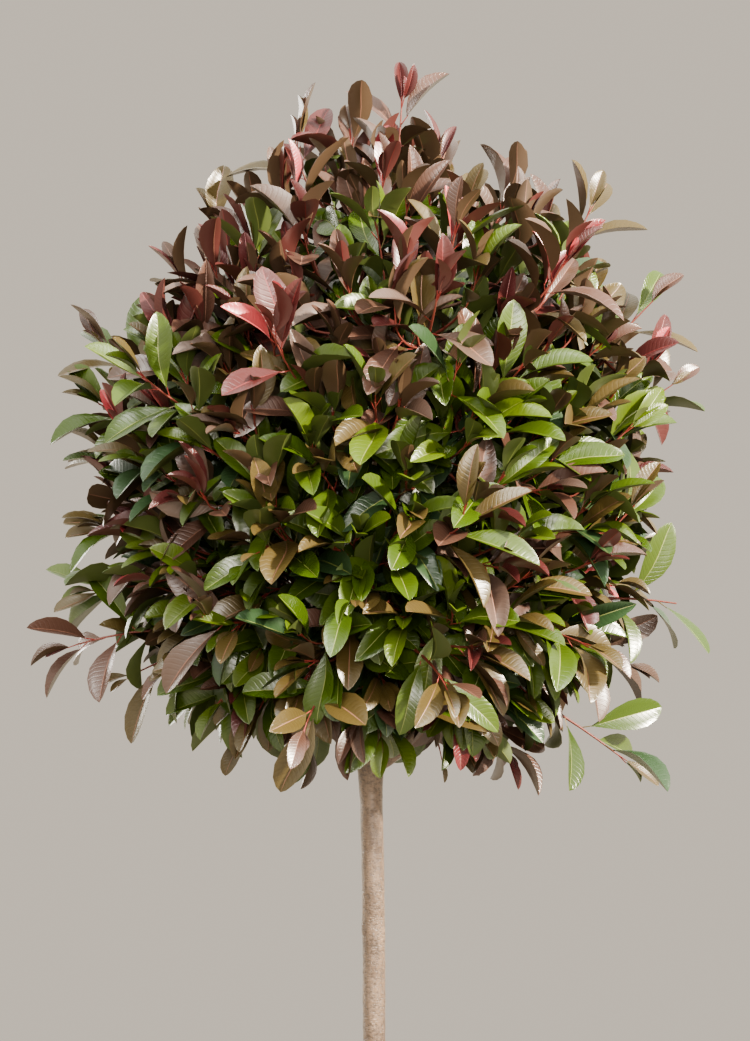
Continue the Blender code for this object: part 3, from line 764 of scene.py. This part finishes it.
def even_directions(count):
    for number in range(count):
        rise = 1.0 - 2.0 * (number + 0.5) / count
        angle = number * GOLDEN_ANGLE
        level = math.sqrt(1.0 - rise * rise)
        yield Vector((level * math.cos(angle), level * math.sin(angle), rise))


def on_body(direction):
    return CROWN_CENTRE + direction / reach_share(CROWN_CENTRE + direction)


def plan_main_tips():
    """The tips that the crown reaches: the outline's furthest ones, then an even seeded spread."""
    chance = random.Random(41)
    tips = []
    for number, (x, z) in enumerate(FAR_TIPS):
        tips.append(Vector((x, FAR_TIP_DEPTH if number % 2 else -FAR_TIP_DEPTH, z)))
    for number, direction in enumerate(even_directions(SHOOTS)):
        body = on_body(direction)
        reach = chance.uniform(SHORT_REACH, USUAL_REACH)
        if number % LONG_SHOOT_EVERY == 3 and abs(body.y) > LONG_SHOOT_DEPTH:
            reach = LONG_REACH
        tip = CROWN_CENTRE + (body - CROWN_CENTRE) * reach
        if direction.z < LOWEST_RISE:
            continue
        if all((tip - other).length > SHOOT_SPACING for other in tips):
            tips.append(tip)
    return tips


def plan_finer_tips(plan, tips):
    """More tips between the ones there are, none closer to another than the plan's spacing."""
    chance = random.Random(plan["seed"])
    finer = []
    for direction in even_directions(plan["directions"]):
        tip = CROWN_CENTRE + (on_body(direction) - CROWN_CENTRE) * chance.uniform(*plan["reach"])
        tip += nudge(chance, FINER_SHIFT)
        if direction.z < LOWEST_RISE:
            continue
        if all((tip - other).length > plan["spacing"] for other in tips + finer):
            finer.append(tip)
    return finer


def nearest_mass(tip):
    return min(masses, key=lambda mass: (tip - mass["heart"]).length)


def shoot_heading(tip, more_lift=0.0, sway=Vector()):
    """Shoots point outward, and more and more upright towards the crown's top."""
    outward = (tip - CROWN_CENTRE).normalized()
    height = (tip.z - CROWN_CENTRE.z) / CROWN_RISE
    lift = SHOOT_LIFT + SHOOT_LIFT_AT_TOP * max(height, 0.0)
    lift += more_lift * max(0.0, min(1.0, 1.0 + height))
    return (outward + UP * lift + sway).normalized()


def grow_twig(mass, tip, heading, parent, kind):
    """A twig leaves its parent on the side of its tip and swings round to its own heading."""
    end = tip - heading * TIP_LEAF_REACH
    if parent is None:
        stem_start = mass["path"][-1]
        stem_line = mass["heart"] - stem_start
        along = (end - stem_start).dot(stem_line.normalized())
        away = ((end - stem_start) - stem_line.normalized() * along).length
        share = (along - FORK_SLANT * away) / stem_line.length
        share = max(FORK_SHARES[0], min(FORK_SHARES[1], share))
        start = stem_start + stem_line * share
    else:
        line = parent["path"]
        distances = [(point - (end - heading * TWIG_FORK_BACK)).length for point in line]
        nearest = distances.index(min(distances))
        start = line[max(1, min(len(line) - 3, nearest))]
    handle = end - heading * ((end - start).length * 0.5)
    path = bend(start, handle, end, TWIG_STEPS)
    return {"mass": mass, "tip": tip, "kind": kind, "far": reach_share(tip) > FAR_REACH, "path": path}


def plan_shoots():
    chance = random.Random(23)
    main = []
    for tip in plan_main_tips():
        mass = nearest_mass(tip)
        main.append(grow_twig(mass, tip, shoot_heading(tip), None, "main"))
    tips = [shoot["tip"] for shoot in main]
    shoots = list(main)
    for kind, plan in (("outer", OUTER_SHOOTS), ("inner", INNER_SHOOTS)):
        finer = plan_finer_tips(plan, tips)
        if kind == "outer":
            finer += [Vector(place) for place in TOP_TIPS]
        for tip in finer:
            mass = nearest_mass(tip)
            near = [shoot for shoot in main if shoot["mass"] is mass]
            parent = min(near, key=lambda shoot: (shoot["tip"] - tip).length)
            sway = nudge(chance, FINER_SWAY)
            shoots.append(grow_twig(mass, tip, shoot_heading(tip, FINER_LIFT, sway), parent, kind))
        tips += finer
    return shoots


def sweep(path, radii, sides):
    """A tube along a path with closed ends, for joining into a larger mesh."""
    points, faces = [], []
    across = (path[1] - path[0]).orthogonal().normalized()
    for ring, (place, radius) in enumerate(zip(path, radii)):
        ahead = path[min(ring + 1, len(path) - 1)] - path[max(ring - 1, 0)]
        ahead.normalize()
        across = (across - ahead * across.dot(ahead)).normalized()
        sideways = ahead.cross(across)
        for side in range(sides):
            angle = 2.0 * math.pi * side / sides
            points.append(place + (across * math.cos(angle) + sideways * math.sin(angle)) * radius)
    for ring in range(len(path) - 1):
        for side in range(sides):
            first = ring * sides + side
            second = ring * sides + (side + 1) % sides
            faces.append([first, second, second + sides, first + sides])
    faces.append([sides - 1 - side for side in range(sides)])
    faces.append([(len(path) - 1) * sides + side for side in range(sides)])
    return points, faces


def length_of(path):
    return sum((path[step + 1] - path[step]).length for step in range(len(path) - 1))


shoots = plan_shoots()
old_wood_painted_lighter = plain_finish("old_twig_wood_painted_lighter", OLD_WOOD_PAINTED_LIGHTER, 0.7)
young_wood_painted_lighter = plain_finish("young_red_wood_painted_lighter", YOUNG_WOOD_PAINTED_LIGHTER, 0.5)
points, faces, slots = [], [], []
for shoot in shoots:
    path = shoot["path"]
    start_radius = MAIN_TWIG_RADIUS if shoot["kind"] == "main" else SIDE_TWIG_RADIUS
    join_in(points, faces, *sweep(path, even_steps(start_radius, SHOOT_END_RADIUS, TWIG_STEPS), TWIG_SIDES))
    old_rings = TWIG_STEPS - math.ceil(TWIG_STEPS * min(1.0, YOUNG_WOOD_LENGTH / length_of(path)))
    slots += [0 if ring < old_rings else 1 for ring in range(TWIG_STEPS) for side in range(TWIG_SIDES)]
    slots += [0 if old_rings > 0 else 1, 1]
twigs = add_mesh("twigs", points, faces, [old_wood_painted_lighter, young_wood_painted_lighter], slots)
soften(twigs, 80.0)
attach(twigs, "root")

# The leaves
# Leathery pointed ovals as long as a finger, folded along a pale midrib with their tips curled back, on
# short red stalks in a spiral round each shoot. Old ones are dark glossy green, young ones bronze and
# mauve, and the newest at the shoots' ends wine red to coral. Some of their colours paint light: a blue-green
# for the sky reflected in shaded leaves, a grey sheen on mauve, a sunlit glow on the bright green, and light
# shining through the coral leaves and the pale olive undersides.

LEAF_LENGTH = 0.101
# The rows of a blade's points, as shares of its length, and the blade's width at each
LEAF_ROWS = (0.0, 0.08, 0.20, 0.36, 0.54, 0.71, 0.86, 0.955, 1.0)
LEAF_WIDTHS = (0.0, 0.110, 0.240, 0.350, 0.390, 0.355, 0.250, 0.125, 0.0)
# How wide each kind is, how far its widest place moves to the tip, how sharply it is folded, how far its tip
# curls down and how far it swings aside
LEAF_KINDS = {
    "mature": {"narrow": 1.04, "shift": 1.28, "fold": 0.52, "curl": 0.07, "drift": 0.00},
    "young": {"narrow": 0.84, "shift": 1.00, "fold": 0.90, "curl": 0.08, "drift": 0.01},
    "drooping": {"narrow": 1.00, "shift": 1.15, "fold": 0.38, "curl": 0.17, "drift": 0.03},
    "wavy": {"narrow": 1.08, "shift": 1.20, "fold": 0.70, "curl": 0.04, "drift": -0.05},
}
# The flat blade's strips, the bounds between its midrib, its halves and its margins, and where the points
# of a half and of a margin stand
LEAF_STRIPS = 5
RIB_ZONE = 0.2
MARGIN_ZONE = 0.4
HALF_COLUMN = 0.3
MARGIN_COLUMN = 0.5
RIB_WIDTH_SHARE = 0.034
RIB_DEPTH_SHARE = 0.035
HALF_BULGE = 0.05
LEAF_ARCH = 0.05
ROW_REACH = 0.004
# Each leaf's place on its own blade, and a copy of it by the name that the export keeps for its pictures, so
# that all the leaves share one picture of their veins
BLADE_MAPS = ("blade", "OFBake")
LEAF_SHINE = 0.64
VEIN_SPACING = 0.072
VEIN_SLANT = 0.34
VEIN_NET_SIZE = 0.030
VEIN_DEPTH = 0.00018
STALK_LENGTH = 0.016

# Each finish is a plain colour and a roughness; each tint is the finishes of a leaf's upper side, midrib
# and underside
LEAF_FINISHES = {
    "leaf_deep_green": ((0.029, 0.051, 0.005), 0.29),
    "leaf_glossy_green": ((0.038, 0.067, 0.006), 0.27),
    "leaf_mid_green": ((0.046, 0.075, 0.008), 0.30),
    # Partly the real light green of fresh leaves, partly a painted sunlit glow
    "leaf_fresh_green_painted_sunlit": ((0.064, 0.096, 0.009), 0.32),
    # A blue-green that paints the sky's reflection on shaded leaves; the shade spray of the inner shoots uses
    # it most
    "leaf_green_painted_sky_reflection": ((0.025, 0.050, 0.020), 0.29),
    "leaf_olive_bronze": ((0.070, 0.050, 0.017), 0.33),
    "leaf_mauve_brown": ((0.075, 0.038, 0.027), 0.32),
    # A mauve leaf colour with a painted grey sheen mixed into it
    "leaf_mauve_painted_grey_sheen": ((0.090, 0.058, 0.045), 0.34),
    "leaf_wine_red": ((0.072, 0.019, 0.018), 0.31),
    "leaf_crimson": ((0.128, 0.020, 0.023), 0.32),
    # The young leaves' real red, lightened to coral by painted light shining through the blade
    "leaf_coral_painted_backlight": ((0.300, 0.052, 0.055), 0.33),
    "midrib_pale_green": ((0.150, 0.170, 0.050), 0.45),
    "midrib_pink": ((0.200, 0.100, 0.068), 0.45),
    "midrib_red": ((0.180, 0.032, 0.030), 0.45),
    # A paler underside, partly its real colour and partly painted light shining through the leaf
    "underside_olive_painted_backlight": ((0.062, 0.082, 0.022), 0.42),
    "underside_brown": ((0.070, 0.044, 0.026), 0.38),
    "underside_plum": ((0.084, 0.027, 0.023), 0.38),
}
GREEN_PARTS = ("midrib_pale_green", "underside_olive_painted_backlight")
BRONZE_PARTS = ("midrib_pink", "underside_brown")
# The blue, grey, bright and coral tints and the olive underside carry painted light: sky reflection, sheen,
# sunlit glow and light shining through
TINTS = {
    "deep": ("leaf_deep_green", *GREEN_PARTS),
    "glossy": ("leaf_glossy_green", *GREEN_PARTS),
    "mid": ("leaf_mid_green", *GREEN_PARTS),
    "bright": ("leaf_fresh_green_painted_sunlit", *GREEN_PARTS),
    "blue": ("leaf_green_painted_sky_reflection", *GREEN_PARTS),
    "olive": ("leaf_olive_bronze", *BRONZE_PARTS),
    "mauve": ("leaf_mauve_brown", *BRONZE_PARTS),
    "grey": ("leaf_mauve_painted_grey_sheen", *BRONZE_PARTS),
    "wine": ("leaf_wine_red", "midrib_red", "underside_plum"),
    "crimson": ("leaf_crimson", "midrib_pink", "underside_plum"),
    "coral": ("leaf_coral_painted_backlight", "midrib_red", "underside_plum"),
}
# What a spray is dealt: its first leaves from the shoot's end, the next few and the oldest. The step after
# it is how many leaves the next few are.
SPRAYS = {
    "red": ("wine crimson mauve coral wine", "mauve wine grey", "olive mauve mid"),
    "bronze": ("mauve wine mauve grey", "mauve grey olive mauve", "olive glossy mid"),
    "bronze_green": ("olive mauve olive", "olive mid olive glossy", "glossy mid deep"),
    "fresh": ("bright olive bright", "bright mid mid", "mid glossy deep"),
    "green": ("mid bright olive", "mid glossy blue", "deep glossy blue mid"),
    "shade": ("mid glossy", "deep glossy blue", "deep blue glossy"),
}
SPRAY_STEP = 3
# The shoots whose ends lie above this height are all young: their first leaves are not green yet
YOUNG_ABOVE = 2.12
YOUNG_LEAVES = 6
YOUNG_TINTS = {"bright": "grey", "mid": "mauve", "glossy": "wine", "deep": "mauve", "blue": "grey"}
# How the sprays are dealt by height: their shares at the crown's foot, its middle and its top
SPRAY_SHARES = {
    "red": (0.03, 0.06, 0.20),
    "bronze": (0.15, 0.14, 0.32),
    "bronze_green": (0.29, 0.26, 0.26),
    "fresh": (0.16, 0.17, 0.08),
    "green": (0.37, 0.37, 0.14),
}
# The two heights, as shares of the crown's, at which its middle share holds and its top share is reached
MIDDLE_SHARE = 0.45
TOP_SHARE = 0.80
CROWN_FOOT = 1.238
CROWN_TOP = 2.333
# How far out a leaf may reach, as a share of the crown's body, and how far beyond its own shoot's end
BODY_LIMIT = 1.01
TIP_LEEWAY = 0.03
BOX_LEEWAY = 0.004
STEM_CLEARANCE = 0.030
FACE_ALONG_SHOOT = 0.60
FACE_UPWARD = 0.45
STALK_ALONG_LEAF = 0.8
STALK_ALONG_SHOOT = 0.2
OPEN_DROOP = 0.10
SUNWARD = Vector((0.40, -0.80, 0.45))
SUNWARD_PULL = 0.15
FAR_SUNWARD_PULL = 0.60
LEAF_HANG = 0.65
FAR_LEAF_HANG = 0.20
# For each leaf down from the shoot's end: how far it stands from the last one, how far it opens from the
# shoot, and its size
NODE_STEPS = (0.0, 0.002, 0.004, 0.007, 0.012, 0.018, 0.022, 0.023, 0.024, 0.025)
OPENINGS = (0.06, 0.15, 0.30, 0.48, 0.72, 0.92, 1.06, 1.15, 1.22, 1.26)
SIZES = (0.36, 0.62, 0.78, 0.92, 1.00, 1.04, 1.04, 1.00, 0.96, 0.92)
LEAVES_ON = {"main": (9, 10), "outer": (8, 9), "inner": (5, 6)}
SPRAY_SIZES = (0.90, 1.06)
LENGTH_SPREAD = (0.90, 1.10)
WIDTH_SPREAD = (0.88, 1.12)
BEND_SPREAD = (0.6, 1.35)
NODE_SPREAD = (0.85, 1.25)
HANG_SPREAD = (0.4, 1.3)
OPENING_SPREAD = 0.16
LEAF_ROLL = 0.28
YOUNG_FORMS = 5
FORM_ODDS = {"mature": 5, "drooping": 2, "wavy": 3, "young": 2}
PLACE_TRIES = 3
TRY_TURN = 0.7


def move_points(leaf, wanted, move):
    select_points(leaf, wanted)
    bpy.ops.transform.translate(value=move)


def shape_leaf(name, narrow, shift, fold, curl, drift):
    """One leaf a unit long, from its root along +Y with its upper side to +Z, as a thin closed shell."""
    start_fresh()
    rows = len(LEAF_ROWS) - 1
    bpy.ops.mesh.primitive_grid_add(
        x_subdivisions=LEAF_STRIPS, y_subdivisions=rows, size=1.0, location=(0.0, 0.5, 0.0)
    )
    leaf = bpy.context.object
    leaf.name = name
    bpy.ops.object.transform_apply(location=True, rotation=True, scale=True)
    bpy.ops.object.mode_set(mode="EDIT")
    mesh = bmesh.from_edit_mesh(leaf.data)
    for face in mesh.faces:
        face.material_index = 1 if abs(face.calc_center_median().x) < RIB_ZONE / 2.0 else 0
    # The underside is a copy turned over, plainer than the upper side, with the midrib standing out of it.
    bpy.ops.mesh.select_all(action="SELECT")
    bpy.ops.mesh.duplicate()
    bpy.ops.mesh.flip_normals()
    bpy.ops.transform.translate(value=(0.0, 0.0, -RIB_DEPTH_SHARE))
    mesh = bmesh.from_edit_mesh(leaf.data)
    for face in mesh.faces:
        if face.select and face.material_index == 0:
            face.material_index = 2
    half_way_down = -RIB_DEPTH_SHARE / 2.0
    select_points(leaf, lambda point: point.z < half_way_down and RIB_ZONE < abs(point.x) < MARGIN_ZONE)
    bpy.ops.mesh.dissolve_edges(use_verts=True)
    lift = (0.0, 0.0, RIB_DEPTH_SHARE)
    move_points(leaf, lambda point: point.z < half_way_down and abs(point.x) > MARGIN_ZONE, lift)
    select_points(leaf, lambda point: abs(point.x) < RIB_ZONE)
    bpy.ops.transform.resize(value=(RIB_WIDTH_SHARE * LEAF_STRIPS, 1.0, 1.0), center_override=(0.0, 0.0, 0.0))
    half_rise = (0.0, 0.0, fold * HALF_COLUMN + HALF_BULGE)
    move_points(leaf, lambda point: RIB_ZONE < abs(point.x) < MARGIN_ZONE, half_rise)
    move_points(leaf, lambda point: abs(point.x) > MARGIN_ZONE, (0.0, 0.0, fold * MARGIN_COLUMN))
    for row in range(rows, -1, -1):
        # The rows move from the tip back, so that none of them is caught twice.
        even = row / rows
        move_points(leaf, lambda point: abs(point.y - even) < ROW_REACH, (0.0, LEAF_ROWS[row] - even, 0.0))
    for share in LEAF_ROWS:
        spread = max(np.interp(share**shift, LEAF_ROWS, LEAF_WIDTHS) * narrow, 0.0001)
        arch = LEAF_ARCH * math.sin(math.pi * share) - curl * share**2.2
        aside = drift * math.sin(1.5 * math.pi * share)
        select_points(leaf, lambda point: abs(point.y - share) < ROW_REACH)
        bpy.ops.transform.resize(value=(spread, 1.0, spread), center_override=(0.0, share, 0.0))
        bpy.ops.transform.translate(value=(aside, 0.0, arch))
    bpy.ops.mesh.select_all(action="SELECT")
    bpy.ops.mesh.remove_doubles(threshold=0.0006)
    bpy.ops.object.mode_set(mode="OBJECT")
    return leaf


def read_leaf(leaf):
    """A leaf's points, faces, places on the blade and parts: 0 upper side, 1 midrib, 2 underside."""
    points, faces = shape_of(leaf)
    blade = np.empty(len(leaf.data.loops) * 2)
    leaf.data.uv_layers.active.data.foreach_get("uv", blade)
    blade = blade.reshape(-1, 2)
    blade[:, 1] = np.interp(blade[:, 1], np.linspace(0.0, 1.0, len(LEAF_ROWS)), LEAF_ROWS)
    parts = [face.material_index for face in leaf.data.polygons]
    bpy.data.objects.remove(leaf)
    return {"points": points, "faces": faces, "blade": blade, "parts": parts}


def make_leaf_finish(name, colour, roughness):
    """A plain colour, and on the upper side veins that slant forward from the midrib with a net between."""
    finish, tree, shader = new_finish(name, roughness)
    feed(tree, shader.inputs["Base Color"], colour)
    shader.inputs["Specular IOR Level"].default_value = LEAF_SHINE
    if not name.startswith("leaf"):
        return finish
    blade = new_node(tree, "UVMap")
    blade.uv_map = BLADE_MAPS[0]
    apart = new_node(tree, "SeparateXYZ", Vector=blade.outputs["UV"])
    from_middle = sums(tree, "SUBTRACT", apart.outputs["X"], 0.5, False)
    from_middle = sums(tree, "ABSOLUTE", from_middle, 0.0)
    along = sums(tree, "SUBTRACT", apart.outputs["Y"], share_of(tree, from_middle, VEIN_SLANT), False)
    line = new_node(tree, "CombineXYZ", X=along).outputs["Vector"]
    veins = new_node(tree, "TexWave", Vector=line, Scale=WAVE_SCALE / VEIN_SPACING)
    veins.bands_direction = "X"
    ridges = share_of(tree, between(tree, veins.outputs["Fac"], 0.0, 0.35), 0.7)
    net = share_of(tree, patches(tree, blade.outputs["UV"], VEIN_NET_SIZE, 2.0), 0.15)
    give_relief(tree, shader, sums(tree, "ADD", ridges, net), VEIN_DEPTH)
    return finish


def place_back(path, distance):
    """The place and direction on a path at a distance back from its end."""
    for step in range(len(path) - 1, 0, -1):
        piece = path[step] - path[step - 1]
        if distance <= piece.length or step == 1:
            ahead = piece.normalized()
            return path[step] - ahead * min(distance, piece.length), ahead
        distance -= piece.length


def deal_spray(shoot, chance):
    """The kind of spray that a shoot bears, by its height in the crown."""
    if shoot["kind"] == "inner":
        return "shade"
    height = (shoot["tip"].z - CROWN_FOOT) / (CROWN_TOP - CROWN_FOOT)
    weights = []
    for foot, middle, top in SPRAY_SHARES.values():
        if height < MIDDLE_SHARE:
            weights.append(foot + (middle - foot) * height / MIDDLE_SHARE)
        else:
            above = (height - MIDDLE_SHARE) / (TOP_SHARE - MIDDLE_SHARE)
            weights.append(middle + (top - middle) * min(1.0, above))
    return chance.choices(list(SPRAY_SHARES), weights)[0]


def grow_leaves(shoot, chance):
    """A spray of leaves climbs a shoot in a spiral, from the old ones below to the young ones at its end."""
    spray = [tints.split() for tints in SPRAYS[deal_spray(shoot, chance)]]
    young = spray[0][0] in ("wine", "mauve")
    topmost = shoot["kind"] != "inner" and shoot["tip"].z > YOUNG_ABOVE
    end = shoot["path"][-1]
    furthest = max(BODY_LIMIT, reach_share(shoot["tip"]) + TIP_LEEWAY)
    low_place = max(0.0, min(1.0, (CROWN_CENTRE.z - end.z) / CROWN_DROP))
    hang = FAR_LEAF_HANG if shoot["far"] else LEAF_HANG
    sunward = SUNWARD * (FAR_SUNWARD_PULL if shoot["far"] else SUNWARD_PULL)
    size = LEAF_LENGTH * chance.uniform(*SPRAY_SIZES)
    turn = chance.uniform(0.0, 2.0 * math.pi)
    distance = 0.0
    leaves = []
    for number in range(chance.randint(*LEAVES_ON[shoot["kind"]])):
        distance += NODE_STEPS[number] * chance.uniform(*NODE_SPREAD)
        node, axis = place_back(shoot["path"], distance)
        opening = OPENINGS[number] + chance.uniform(-OPENING_SPREAD, OPENING_SPREAD)
        length = size * SIZES[number] * chance.uniform(*LENGTH_SPREAD)
        across = axis.orthogonal().normalized()
        sideways = axis.cross(across)
        tint = chance.choice(spray[min(2, max(0, number - 1) // SPRAY_STEP)])
        if topmost and number < YOUNG_LEAVES:
            tint = YOUNG_TINTS.get(tint, tint)
        for attempt in range(PLACE_TRIES):
            angle = turn + number * GOLDEN_ANGLE + attempt * TRY_TURN
            outward = across * math.cos(angle) + sideways * math.sin(angle)
            pointing = axis * math.cos(opening) + outward * math.sin(opening)
            droop = hang * low_place**2 * chance.uniform(*HANG_SPREAD)
            pointing -= UP * (OPEN_DROOP * math.sin(opening) + droop)
            pointing.normalize()
            root = node + (pointing * STALK_ALONG_LEAF + axis * STALK_ALONG_SHOOT) * STALK_LENGTH
            tip = root + pointing * length
            if reach_share(tip) < furthest and in_the_box(tip) and clear_of_stem(root, tip):
                break
        else:
            continue
        face_up = axis * FACE_ALONG_SHOOT + UP * FACE_UPWARD + nudge(chance, LEAF_ROLL) + sunward
        face_up = (face_up - pointing * face_up.dot(pointing)).normalized()
        if young and number < YOUNG_FORMS:
            kind = "young"
        else:
            kind = chance.choices(list(FORM_ODDS), list(FORM_ODDS.values()))[0]
        leaf = {"node": node, "root": root, "pointing": pointing, "up": face_up, "kind": kind, "tint": tint}
        leaf["length"] = length
        leaf["width"] = length * chance.uniform(*WIDTH_SPREAD)
        leaf["bend"] = length * chance.uniform(*BEND_SPREAD)
        leaves.append(leaf)
    return leaves


def in_the_box(tip):
    """Whether a leaf's tip keeps within the plant's own size."""
    low, high = cad_box
    across = all(low[side] - BOX_LEEWAY < tip[side] < high[side] + BOX_LEEWAY for side in (0, 1))
    return across and CROWN_FOOT < tip.z < high[2]


def clear_of_stem(root, tip):
    """Whether a leaf keeps off the stem and the limbs close to it."""
    for share in (0.0, 0.5, 1.0):
        point = root.lerp(tip, share)
        if point.z < STEM_TOP and (point - stem_centre(point.z)).length < STEM_CLEARANCE:
            return False
    return True


def join_leaves(name, leaves, shapes, finishes):
    """All the leaves of one mass as one mesh, each leaf's faces taking the finishes of its tint."""
    names = list(LEAF_FINISHES)
    all_points, all_faces, all_blades, slots = [], [], [], []
    first = 0
    for leaf in leaves:
        shape = shapes[leaf["kind"]]
        side = leaf["pointing"].cross(leaf["up"])
        x, y, z = shape["points"].T
        points = np.array(leaf["root"]) + np.outer(x * leaf["width"], side)
        points += np.outer(y * leaf["length"], leaf["pointing"])
        points += np.outer(z * leaf["bend"], leaf["up"])
        all_points.append(points)
        all_faces += [[first + index for index in face] for face in shape["faces"]]
        all_blades.append(shape["blade"])
        tint = [names.index(part) for part in TINTS[leaf["tint"]]]
        slots += [tint[part] for part in shape["parts"]]
        first += len(points)
    piece = add_mesh(name, np.concatenate(all_points), all_faces, [finishes[name] for name in names], slots)
    for map_name in BLADE_MAPS:
        piece.data.uv_layers.new(name=map_name).data.foreach_set("uv", np.concatenate(all_blades).ravel())
    soften(piece, 50.0)
    return piece


shapes = {}
for kind, form in LEAF_KINDS.items():
    shapes[kind] = read_leaf(shape_leaf(f"leaf_{kind}", **form))
leaf_finishes = {}
for name, (colour, roughness) in LEAF_FINISHES.items():
    leaf_finishes[name] = make_leaf_finish(name, colour, roughness)

chance = random.Random(31)
leaves_of = {mass["name"]: [] for mass in masses}
for shoot in shoots:
    leaves_of[shoot["mass"]["name"]] += grow_leaves(shoot, chance)
for mass in masses:
    piece = join_leaves(f"leaves_{mass['name']}", leaves_of[mass["name"]], shapes, leaf_finishes)
    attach(piece, "root")
    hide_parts(f"foliage_{mass['name']}")

# The leaf stalks
# Each leaf hangs on a short round stalk, wine red on the young shoots and greener on the old ones.

STALK_RED = (0.200, 0.034, 0.028)
STALK_GREEN = (0.130, 0.100, 0.045)
STALK_RADII = (0.0010, 0.0008)
STALK_SIDES = 3
STALK_IN_BLADE = 0.04

stalk_finishes = [plain_finish("stalk_red", STALK_RED, 0.5), plain_finish("stalk_green", STALK_GREEN, 0.5)]
points, faces, slots = [], [], []
for leaves in leaves_of.values():
    for leaf in leaves:
        into_blade = leaf["root"] + leaf["pointing"] * (leaf["length"] * STALK_IN_BLADE)
        stalk_points, stalk_faces = sweep([leaf["node"], into_blade], STALK_RADII, STALK_SIDES)
        join_in(points, faces, stalk_points, stalk_faces)
        green = leaf["tint"] in ("deep", "glossy", "blue")
        slots += [1 if green else 0] * len(stalk_faces)
stalks = add_mesh("leaf_stalks", points, faces, stalk_finishes, slots)
soften(stalks, 80.0)
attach(stalks, "root")

# The floor
# A broad pale round of plaster under the plant, which thins out towards its edge so that no line shows where
# it meets the room behind.

FLOOR_RADIUS = 4.0
FLOOR_SOLID_RADIUS = 1.8
FLOOR_CLEAR_RADIUS = 3.88
FLOOR_SIDES = 128
PLASTER = (0.160, 0.148, 0.133)


def shaded_over(tree, cover, below, above, output):
    """Gives an output one shader over another, as far as cover says."""
    mix = new_node(tree, "MixShader")
    for socket, source in zip(mix.inputs, (cover, below, above)):
        feed(tree, socket, source)
    feed(tree, tree.nodes[output].inputs["Surface"], mix.outputs["Shader"])


start_fresh()
bpy.ops.mesh.primitive_circle_add(vertices=FLOOR_SIDES, radius=FLOOR_RADIUS, fill_type="NGON")
floor = bpy.context.object
floor.name = "floor"
finish, tree, shader = new_finish("plaster", 0.9)
feed(tree, shader.inputs["Base Color"], PLASTER)
clear = new_node(tree, "BsdfTransparent")
distance = new_node(tree, "VectorMath")
distance.operation = "LENGTH"
feed(tree, distance.inputs[0], place_on(tree))
thinning = between(tree, distance.outputs["Value"], FLOOR_SOLID_RADIUS, FLOOR_CLEAR_RADIUS)
shaded_over(tree, thinning, shader.outputs["BSDF"], clear.outputs["BSDF"], "Material Output")
floor.data.materials.append(finish)

# The light
# A strong warm lamp high on the right in front, soft ones on the left, behind, and level with the crown in
# front, and a room whose ceiling gives the most light, whose lower half gives warm light, and whose walls
# look pale and even.

ROOM_WALLS = (0.60, 0.54, 0.46)
ROOM_CEILING = (1.96, 1.94, 1.82)
ROOM_BELOW = (1.16, 0.98, 0.73)
ROOM_LOW_END = -0.45
ROOM_HIGH_END = 0.95
LAMP_AIM = Vector((0.0, 0.0, 1.6))


def add_lamp(name, place, size, power, colour):
    lamp = bpy.data.lights.new(name, "AREA")
    lamp.shape = "DISK"
    lamp.size = size
    lamp.energy = power
    lamp.color = colour
    holder = add_object(name, lamp)
    holder.location = place
    holder.visible_camera = False
    holder.rotation_euler = (LAMP_AIM - Vector(place)).to_track_quat("-Z", "Y").to_euler()


add_lamp("key_lamp", (4.4, -3.2, 4.5), 0.4, 1680.0, (1.0, 0.91, 0.77))
add_lamp("fill_lamp", (-0.9, -3.4, 5.4), 2.4, 200.0, (1.0, 0.99, 0.94))
add_lamp("back_lamp", (-3.0, 3.0, 2.6), 2.4, 170.0, (1.0, 0.96, 0.90))
add_lamp("front_lamp", (0.3, -3.9, 2.3), 1.2, 90.0, (1.0, 0.93, 0.88))

room = bpy.data.worlds.new("room")
room.use_nodes = True
tree = room.node_tree
lit = tree.nodes["Background"]
way = new_node(tree, "TexCoord").outputs["Generated"]
upward = between(tree, height_of(tree, way), ROOM_LOW_END, ROOM_HIGH_END)
feed(tree, lit.inputs["Color"], laid_over(tree, upward, ROOM_BELOW, ROOM_CEILING))
walls = new_node(tree, "Background", Color=ROOM_WALLS)
seen = new_node(tree, "LightPath").outputs["Is Camera Ray"]
shaded_over(tree, seen, lit.outputs["Background"], walls.outputs["Background"], "World Output")
bpy.context.scene.world = room
bpy.context.scene.view_settings.look = "AgX - Medium High Contrast"

# The camera
# It stands level with the crown, straight in front, and shows the crown and the upper part of the stem.

lens = bpy.data.cameras.new("camera")
lens.lens = 85.0
lens.sensor_width = 36.0
camera = add_object("camera", lens)
camera.location = (0.0075, -3.69, 1.647)
camera.rotation_euler = (math.radians(90.0), 0.0, 0.0)
bpy.context.scene.camera = camera
